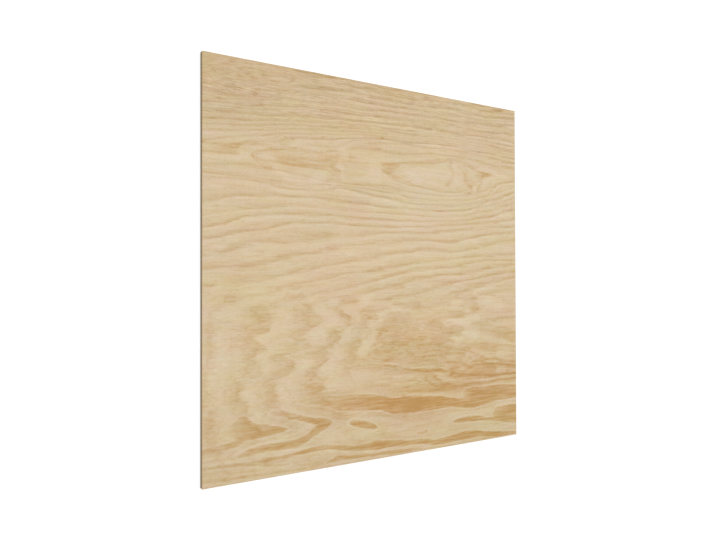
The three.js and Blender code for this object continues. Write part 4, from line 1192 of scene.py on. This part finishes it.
def layFlat(mesh, points, quads, kinds):
    # a map with the face at the left, the back right of it and smaller, and the four walls as strips
    m = flatMap
    uv = mesh.uv_layers.new(name="OFBake")
    corner = points[quads]
    side = 2 * sheet["halfSide"]
    u, v = corner[..., 0] / side + 0.5, corner[..., 1] / side + 0.5
    height = corner[..., 2] / sum(sheet["plies"])
    middle = corner.mean(1)
    facesX = np.abs(middle[:, 0]) > np.abs(middle[:, 1])
    wall = np.where(facesX, np.where(middle[:, 0] > 0, 0, 1), np.where(middle[:, 1] > 0, 2, 3))
    run = np.where(facesX[:, None], v, u)
    wallStart, wallStep, wallWidth = m["walls"]
    strip = wallStart + wallStep * wall[:, None] + wallWidth * height
    backStart, backWidth = m["back"]
    k = kinds[:, None]
    mapU = np.where(k == 0, m["margin"] + m["face"] * u, np.where(k == 1, backStart + backWidth * u, strip))
    mapV = m["margin"] + m["height"] * np.where(k == 2, run, v)
    uv.data.foreach_set("uv", np.stack([mapU, mapV], -1).astype(np.float32).ravel())


def stretchedNoise(tree, place, cell, shift, detail, dimensions):
    # 4 x noise - 2, about -1 to 1; cell is the size of its lumps along X, Y and Z
    mapping = addNode(tree, "Mapping", {"Vector": place})
    mapping.inputs["Location"].default_value = shift
    mapping.inputs["Scale"].default_value = [1 / size for size in cell]
    noise = addNode(tree, "TexNoise", {"Vector": mapping.outputs[0], "Scale": 1.0, "Detail": detail},
                    noise_dimensions=dimensions)
    return maths(tree, "MULTIPLY_ADD", noise.outputs[0], 4.0, -2.0)


def ramp(tree, value, stops):
    # stops are (position, colour), read with straight runs between them
    node = addNode(tree, "ValToRGB", {"Fac": value})
    elements = node.color_ramp.elements
    while len(elements) < len(stops):
        elements.new(1.0)
    for element, (position, colour) in zip(elements, stops):
        element.position, element.color = position, colour
    return node.outputs[0]


# the face's wood; noise cells are in m, and tone runs from 0, pale, to 1, dark
pine = {
    "colours": [(-0.25, (226, 212, 187)), (0.0, (222, 203, 172)), (0.25, (216, 194, 158)),
                (0.5, (208, 181, 140)), (0.72, (201, 167, 117)), (0.86, (195, 156, 102)),
                (1.0, (188, 146, 88))],
    # how dark the wood is through one ring, from its pale spring wood to the sharp end of the dark
    "ring": [(0.0, 0.22), (0.07, 0.03), (0.2, 0.0), (0.42, 0.18), (0.62, 0.46), (0.78, 0.86), (0.88, 1.0),
             (0.95, 0.8), (1.0, 0.22)],
    "softRing": [(0.0, 0.3), (0.2, 0.0), (0.45, 0.25), (0.7, 0.78), (0.85, 0.95), (1.0, 0.3)],
    "minorRing": [(0.0, 0.0), (0.55, 0.1), (0.8, 1.0), (0.92, 0.7), (1.0, 0.0)],
    # noise that bends the rings: (cell along, cell across, rings, detail)
    "wander": [(0.3, 0.06, 0.22, 1), (0.11, 0.022, 0.15, 1)],
    "jag": (0.075, 0.016, 0.3, 1),
    "feather": (0.06, 0.005, 0.055, 1),
    "curl": (0.048, 0.008, 0.42, 0.5),
    "minor": (0.2, 0.014, 0.45, 1),  # the same for the minor rings
    "minorCount": 2.6,  # minor rings for each ring
    # noise that varies the strength of the dark wood, (cell along, cell across, share, detail)
    "uneven": (0.1, 0.015, 0.4, 2),
    "unevenLevel": (0.95, 0.15),  # mean strength and least strength
    "minorShare": (0.18, 0.25),  # where the grain is plain, and how much busy grain adds
    "minorLevel": 1.6,  # minor rings are as strong as this less the strength of the dark wood
    # streaks laid over the rings: (cell along, cell across, depth, detail)
    "fibre": [(0.07, 0.0022, 0.06, 2), (0.22, 0.007, 0.065, 2), (0.014, 0.004, 0.05, 1),
              (0.045, 0.0008, 0.05, 2)],
    "pore": (0.009, 0.00045, 1.0, 0),  # resin canals, short dark dashes along the grain
    "poreDepth": (0.85, 0.9),  # the noise over which they show, and how dark they are
    "blotch": (0.3, 0.1, 0.07, 2),
    "fleck": (0.034, 0.0034, 1.0, 2),  # short streaks
    "fleckDepth": (0.36, 0.2),  # of the dark streaks and of the pale ones
    "fleckLevel": (0.05, -0.45),  # the noise over which dark ones show, and under which pale ones do
    # how dark the wood is from one flame's edge to the next, and the noise that bends the flames
    "flame": [(0.0, 0.35), (0.03, 0.06), (0.16, 0.0), (0.4, 0.2), (0.62, 0.5), (0.82, 0.85), (0.95, 1.0),
              (1.0, 0.35)],
    "flameJag": [(0.03, 0.0085, 0.038, 1), (0.09, 0.02, 0.03, 0)],
    "flameDepth": (0.2, -0.088, 0.065),  # of the flames, their mean, and of the finer lines
    "flameLines": 4.0,  # finer lines for each flame
    # noise that makes the outlines of patches, fine lines and dark bands stray, in mm
    "patchRag": [(0.03, 0.0075, 2.6, 1), (0.1, 0.016, 1.6, 0)],
    "lineRag": (0.04, 0.006, 1.1, 1),
    "bandRag": [(0.045, 0.006, 1.1, 1), (0.15, 0.02, 1.6, 0)],
    # noise that varies the strength of patches, soft marks and dark bands
    "patchStreak": (0.1, 0.007, 0.35, 1),
    "markStreak": (0.045, 0.005, 0.45, 1),
    "bandStreak": (0.09, 0.006, 0.48, 2),
    "patchEdge": (-2.5, 4.5),  # depths at which a patch starts and is full, mm
    "lineEdge": (0.78, 3.9),  # a fine line is full up to one distance and gone at the other, mm
    "bandEdge": (-2.8, 2.8),  # depths at which a band starts and is full, mm
    "bandCore": ((1.0, 18.0), 0.82, 0.24),  # it grows darker between these depths: start and rise
    "bandRim": ((-10.0, -3.5), -0.13),  # and is paler outside, between these depths
    # painted shade of the rounded arris along the face's rim
    "border": ((0.6073, 0.61), 0.22),  # it grows darker between these distances from the middle, m
    # hues that noise mixes: pinkish and olive, yellowish and whitish
    "tints": [((1.022, 0.982, 1.01), (0.981, 1.014, 0.99)), ((1.004, 1.003, 0.945), (0.996, 0.997, 1.055))],
    "tint": [(0.3, 0.1, 0.35, 1), (0.085, 0.026, 0.35, 1), (0.024, 0.007, 0.25, 1)],
    "warm": ((0.976, 1.014, 1.056), (1.024, 0.986, 0.944)),  # at the least and the most warmth
    "warmest": 4.0,
    "greyShade": 0.62,  # how much a fine line darkens the wood where it leaves the hue as it is
    "rampSpan": (0.8, 0.2),  # tone x 0.8 + 0.2 is the place on the ramp of colours
    "gloss": (0.66, 0.5),  # roughness of pale and of dark wood
    "specular": 0.2,
    "relief": (0.35, 0.00025),  # strength and depth, m
    "reliefShares": (3.0, -2.0),  # of the fibres and of the canals, beside the dark wood's 1
}
pineBack = {
    **pine,
    "colours": [(-0.25, (220, 201, 168)), (0.0, (216, 196, 162)), (0.25, (208, 185, 147)),
                (0.5, (199, 171, 130)), (0.72, (190, 156, 110)), (0.86, (181, 143, 94)),
                (1.0, (168, 127, 76))],
    "blotch": (0.22, 0.06, 0.12, 2),
}


def pineMaterial(name, p):
    # the dark end of every ring, with streaks, marks and bands of darker wood, coloured by its tone
    material, tree = newMaterial(name)
    plus, minus, times, timesPlus, larger = mathsFor(tree)
    place = addNode(tree, "TexCoord").outputs["Object"]

    def layer(attribute):
        # a value kept on the sheet's points
        return addNode(tree, "Attribute", attribute_name=attribute).outputs["Fac"]

    def noise(row, seed):
        # every noise has a seed of its own, which moves it far away from the others
        along, across, amount, detail = row
        shift = (3.7 * seed, 1.9 * seed, 0)
        stretched = stretchedNoise(tree, place, (along, across, 1), shift, detail, "2D")
        return times(stretched, amount)

    def total(rows, seed):
        # the sum of several noises, with seeds that follow one another
        result = 0.0
        for n, row in enumerate(rows):
            result = plus(noise(row, seed + n), result)
        return result

    def shades(stops):
        # greys for a ramp
        return [(s, (v, v, v, 1)) for s, v in stops]

    def step(value, low, high):
        # 0 up to low, 1 from high on, with a soft rise between them
        return addNode(tree, "MapRange", {"Value": value, "From Min": low, "From Max": high},
                       interpolation_type="SMOOTHSTEP").outputs[0]

    # rings = growth + wander x its noise + curl x its noise + softness x jags + feathering of fibres
    rings = timesPlus(total(p["wander"], 1), layer("wander"), layer("growth"))
    rings = timesPlus(noise(p["curl"], 9), layer("curl"), rings)
    rings = timesPlus(noise(p["jag"], 10), layer("softness"), rings)
    rings = plus(rings, noise(p["feather"], 12))
    phase = maths(tree, "FRACT", rings)
    late = addNode(tree, "Mix", {"Factor": layer("softness")})
    tree.links.new(ramp(tree, phase, shades(p["ring"])), late.inputs["A"])
    tree.links.new(ramp(tree, phase, shades(p["softRing"])), late.inputs["B"])
    late = late.outputs["Result"]
    minorRings = timesPlus(rings, p["minorCount"], noise(p["minor"], 15))
    minor = ramp(tree, maths(tree, "FRACT", minorRings), shades(p["minorRing"]))

    # fine = dark ends x darkness x unevenness + minor rings; tone = broad tone + blotches + fibres
    level, least = p["unevenLevel"]
    uneven = plus(noise(p["uneven"], 18), level)
    strength = times(layer("darkness"), larger(uneven, least))
    plainShare, busyShare = p["minorShare"]
    minorShare = timesPlus(layer("busy"), busyShare, plainShare)
    minorDepth = times(minus(p["minorLevel"], uneven), minorShare)
    fine = timesPlus(late, strength, times(minor, minorDepth))
    fibre = total(p["fibre"], 30)
    tone = plus(layer("tone"), noise(p["blotch"], 20))
    tone = plus(tone, fibre)

    # canals = darkness x what the noise has over its level
    poreLevel, poreDark = p["poreDepth"]
    pore = times(larger(minus(noise(p["pore"], 94), poreLevel), 0.0), poreDark)
    tone = plus(tone, pore)

    # flames = their share x (depth x dark end of each ring + mean + depth x a finer set of lines)
    flames = plus(layer("flames"), total(p["flameJag"], 80))
    flameDepth, mean, lineDepth = p["flameDepth"]
    flameTone = ramp(tree, maths(tree, "FRACT", flames), shades(p["flame"]))
    flameTone = timesPlus(flameTone, flameDepth, mean)
    nested = timesPlus(flames, p["flameLines"], noise(p["minor"], 84))
    nested = ramp(tree, maths(tree, "FRACT", nested), shades(p["minorRing"]))
    flameTone = timesPlus(nested, lineDepth, flameTone)
    share = times(layer("flameShare"), 1.0, clamp=True)
    tone = timesPlus(flameTone, share, tone)

    # short streaks = busy x (what the noise has over one level - what it has under the other)
    fleck = noise(p["fleck"], 60)
    darkLevel, paleLevel = p["fleckLevel"]
    darkDepth, paleDepth = p["fleckDepth"]
    dark = larger(minus(fleck, darkLevel), 0.0)
    pale = larger(minus(paleLevel, fleck), 0.0)
    fleck = timesPlus(pale, -paleDepth, times(dark, darkDepth))
    fine = timesPlus(fleck, layer("busy"), fine)

    # patches = strength where the depth, made ragged, is over 0
    depth = plus(layer("patchDepth"), total(p["patchRag"], 70))
    patch = times(step(depth, *p["patchEdge"]), layer("patchStrength"))
    tone = timesPlus(patch, plus(noise(p["patchStreak"], 74), 1.0), tone)

    # soft marks x (1 + streaks), and fine lines, dark where the distance, made ragged, is small
    mark = timesPlus(layer("mark"), noise(p["markStreak"], 64), layer("mark"))
    fine = plus(fine, mark)
    rag = noise(p["lineRag"], 66)
    for letter in "AB":
        offset = maths(tree, "ABSOLUTE", plus(layer("line" + letter), rag))
        drawn = minus(1.0, step(offset, *p["lineEdge"]))
        fine = timesPlus(drawn, layer("lineStrength" + letter), fine)

    # dark bands = strength where the depth, made ragged, is over 0; a pale rim lies outside them
    depth = plus(layer("bandDepth"), total(p["bandRag"], 40))
    inside = step(depth, *p["bandEdge"])
    coreSpan, coreStart, coreRise = p["bandCore"]
    core = timesPlus(step(depth, *coreSpan), coreRise, coreStart)
    streaks = plus(noise(p["bandStreak"], 44), core)
    band = times(layer("bandStrength"), streaks)
    tone = timesPlus(inside, band, tone)
    rimSpan, rimDepth = p["bandRim"]
    rim = times(step(depth, *rimSpan), minus(1.0, inside))
    tone = timesPlus(rim, rimDepth, tone)

    # painted shade along the rounded arris: the face grows darker near its rim, by the larger of |x| and |y|
    axes = addNode(tree, "SeparateXYZ", {"Vector": place}).outputs
    outward = larger(maths(tree, "ABSOLUTE", axes[0]), maths(tree, "ABSOLUTE", axes[1]))
    arrisShadeSpan, arrisShadeDepth = p["border"]
    tone = timesPlus(step(outward, *arrisShadeSpan), arrisShadeDepth, tone)

    # colour = ramp of (tone + fine x (1 - grey)) x tints x warmth x (1 - shade x fine x grey)
    greyed = times(fine, layer("grey"))
    tone = minus(plus(tone, fine), greyed)
    span, start = p["rampSpan"]
    scaled = timesPlus(tone, span, start)
    colour = ramp(tree, scaled, [(span * s + start, srgb(*c)) for s, c in p["colours"]])
    mixes = [timesPlus(layer("warmth"), 0.5 / p["warmest"], 0.5)]
    mixes += [plus(total(p["tint"], seed), 0.5, clamp=True) for seed in (50, 90)]
    factors = [timesPlus(greyed, -p["greyShade"], 1.0)]
    for mix, tints in zip(mixes, [p["warm"], *p["tints"]]):
        factors.append(ramp(tree, mix, [(n, (*tint, 1)) for n, tint in enumerate(tints)]))
    for factor in factors:
        product = addNode(tree, "Mix", data_type="RGBA", blend_type="MULTIPLY")
        product.inputs["Factor"].default_value = 1.0
        tree.links.new(colour, product.inputs["A"])
        tree.links.new(factor, product.inputs["B"])
        colour = product.outputs["Result"]
    shader = addNode(tree, "BsdfPrincipled", {"Base Color": colour})
    shader.inputs["Specular IOR Level"].default_value = p["specular"]
    gloss = addNode(tree, "MapRange", {"Value": tone, "To Min": p["gloss"][0], "To Max": p["gloss"][1]})
    tree.links.new(gloss.outputs[0], shader.inputs["Roughness"])
    fibreShare, poreShare = p["reliefShares"]
    height = timesPlus(fibre, fibreShare, late)
    height = timesPlus(pore, poreShare, height)
    strength, deep = p["relief"]
    bump = addNode(tree, "Bump", {"Strength": strength, "Distance": deep, "Height": height})
    tree.links.new(bump.outputs[0], shader.inputs["Normal"])
    addNode(tree, "OutputMaterial", {"Surface": shader.outputs[0]})
    return material


# the sawn edge; noises are (cell along the edge, cell through the sheet), m
edge = {
    "longGrain": [(0.0, (232, 214, 182)), (0.5, (222, 200, 164)), (1.0, (200, 172, 130))],
    "endGrain": [(0.0, (226, 206, 172)), (0.5, (208, 184, 146)), (1.0, (170, 140, 100))],
    "glue": (139, 110, 78),
    "glueHalf": (0.00042, 0.00012),  # a glue line fades out and is full at these distances, m
    "glueCover": (0.8, 0.15),  # how much of the wood it hides, and how much that varies
    "streak": (0.03, 0.00045),  # long fibres
    "speck": (0.0011, 0.0006),  # cut fibre ends
    "saw": (0.0017, 0.06),  # marks of the saw
    "broad": (0.12, 0.02),
    "longTone": (0.42, 0.26, 0.14),  # mean tone of long grain, and shares of streaks and broad noise
    "endTone": (0.22, 0.5, 0.16, 0.12),  # base of end grain, shares of rings, specks and broad noise
    "sawShare": 0.08,
    "ringStep": 0.0017,  # rings on the end grain, m
    "ringSlope": 0.14,
    "ringBend": (0.05, 0.004, 0.9),  # noise that bends them: (along, through, rings)
    "ring": [(0, 0.15), (0.6, 0.35), (0.88, 0.9), (1, 0.15)],
    "roughness": 0.85,
    "specular": 0.15,
    "relief": (0.5, 0.00012),  # strength and depth, m
}


def edgeMaterial(name, e):
    # plies of long grain and of end grain by turns, with dark glue lines between them
    material, tree = newMaterial(name)
    plus, minus, times, timesPlus, larger = mathsFor(tree)
    place = addNode(tree, "TexCoord").outputs["Object"]
    axes = addNode(tree, "SeparateXYZ", {"Vector": place}).outputs

    def noise(run, height, seed, detail):
        # the same size along both pairs of edges
        shift = (2.3 * seed, 1.7 * seed, seed)
        return stretchedNoise(tree, place, (run, run, height), shift, detail, "3D")

    # long grain = mean + streaks along the edge + broad noise; end grain = base + rings that slope
    # across the edge + specks + broad noise
    streak, speck, saw = noise(*e["streak"], 1, 2), noise(*e["speck"], 2, 1), noise(*e["saw"], 3, 1)
    broad = noise(*e["broad"], 4, 1)
    mean, streakShare, broadShare = e["longTone"]
    longTone = timesPlus(streak, streakShare, mean)
    longTone = timesPlus(broad, broadShare, longTone)
    run = times(plus(axes[0], axes[1]), e["ringSlope"] / e["ringStep"])
    rings = timesPlus(axes[2], 1 / e["ringStep"], run)
    bendRun, bendHeight, bend = e["ringBend"]
    rings = timesPlus(noise(bendRun, bendHeight, 5, 1), bend, rings)
    ringTone = ramp(tree, maths(tree, "FRACT", rings), [(s, (v, v, v, 1)) for s, v in e["ring"]])
    base, ringShare, speckShare, broadShare = e["endTone"]
    endTone = timesPlus(ringTone, ringShare, base)
    endTone = timesPlus(speck, speckShare, endTone)
    endTone = timesPlus(broad, broadShare, endTone)
    endGrain = addNode(tree, "Attribute", attribute_name="endGrain").outputs["Fac"]
    colour = addNode(tree, "Mix", data_type="RGBA")
    tree.links.new(endGrain, colour.inputs["Factor"])
    for socket, tone, stops in (("A", longTone, e["longGrain"]), ("B", endTone, e["endGrain"])):
        sawn = timesPlus(saw, e["sawShare"], tone)
        tree.links.new(ramp(tree, sawn, [(s, srgb(*c)) for s, c in stops]), colour.inputs[socket])

    # glue lines, by the least distance from the joints between the plies
    nearest = 1.0  # m, further than any
    for joint in np.cumsum(sheet["plies"])[:-1]:
        away = maths(tree, "ABSOLUTE", minus(axes[2], float(joint)))
        nearest = maths(tree, "MINIMUM", away, nearest)
    gone, full = e["glueHalf"]
    glued = addNode(tree, "MapRange", {"Value": nearest, "From Min": gone, "From Max": full})
    cover, coverChange = e["glueCover"]
    cover = timesPlus(broad, coverChange, cover)
    glued = times(glued.outputs[0], cover, clamp=True)
    dressed = addNode(tree, "Mix", data_type="RGBA")
    tree.links.new(glued, dressed.inputs["Factor"])
    tree.links.new(colour.outputs["Result"], dressed.inputs["A"])
    dressed.inputs["B"].default_value = srgb(*e["glue"])

    shader = addNode(tree, "BsdfPrincipled", {"Base Color": dressed.outputs["Result"]})
    shader.inputs["Roughness"].default_value = e["roughness"]
    shader.inputs["Specular IOR Level"].default_value = e["specular"]
    height = timesPlus(speck, endGrain, plus(streak, saw))
    strength, deep = e["relief"]
    bump = addNode(tree, "Bump", {"Strength": strength, "Distance": deep, "Height": height})
    tree.links.new(bump.outputs[0], shader.inputs["Normal"])
    addNode(tree, "OutputMaterial", {"Surface": shader.outputs[0]})
    return material


plywoodSheet = bpy.data.objects.new("plywoodSheet", buildSheet())
scene.collection.objects.link(plywoodSheet)
plywoodSheet.data.materials.append(pineMaterial("pineFace", pine))
plywoodSheet.data.materials.append(pineMaterial("pineBack", pineBack))
plywoodSheet.data.materials.append(edgeMaterial("sawnEdge", edge))
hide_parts("plywood_sheet")
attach(plywoodSheet, "root")
print("sheet finished")
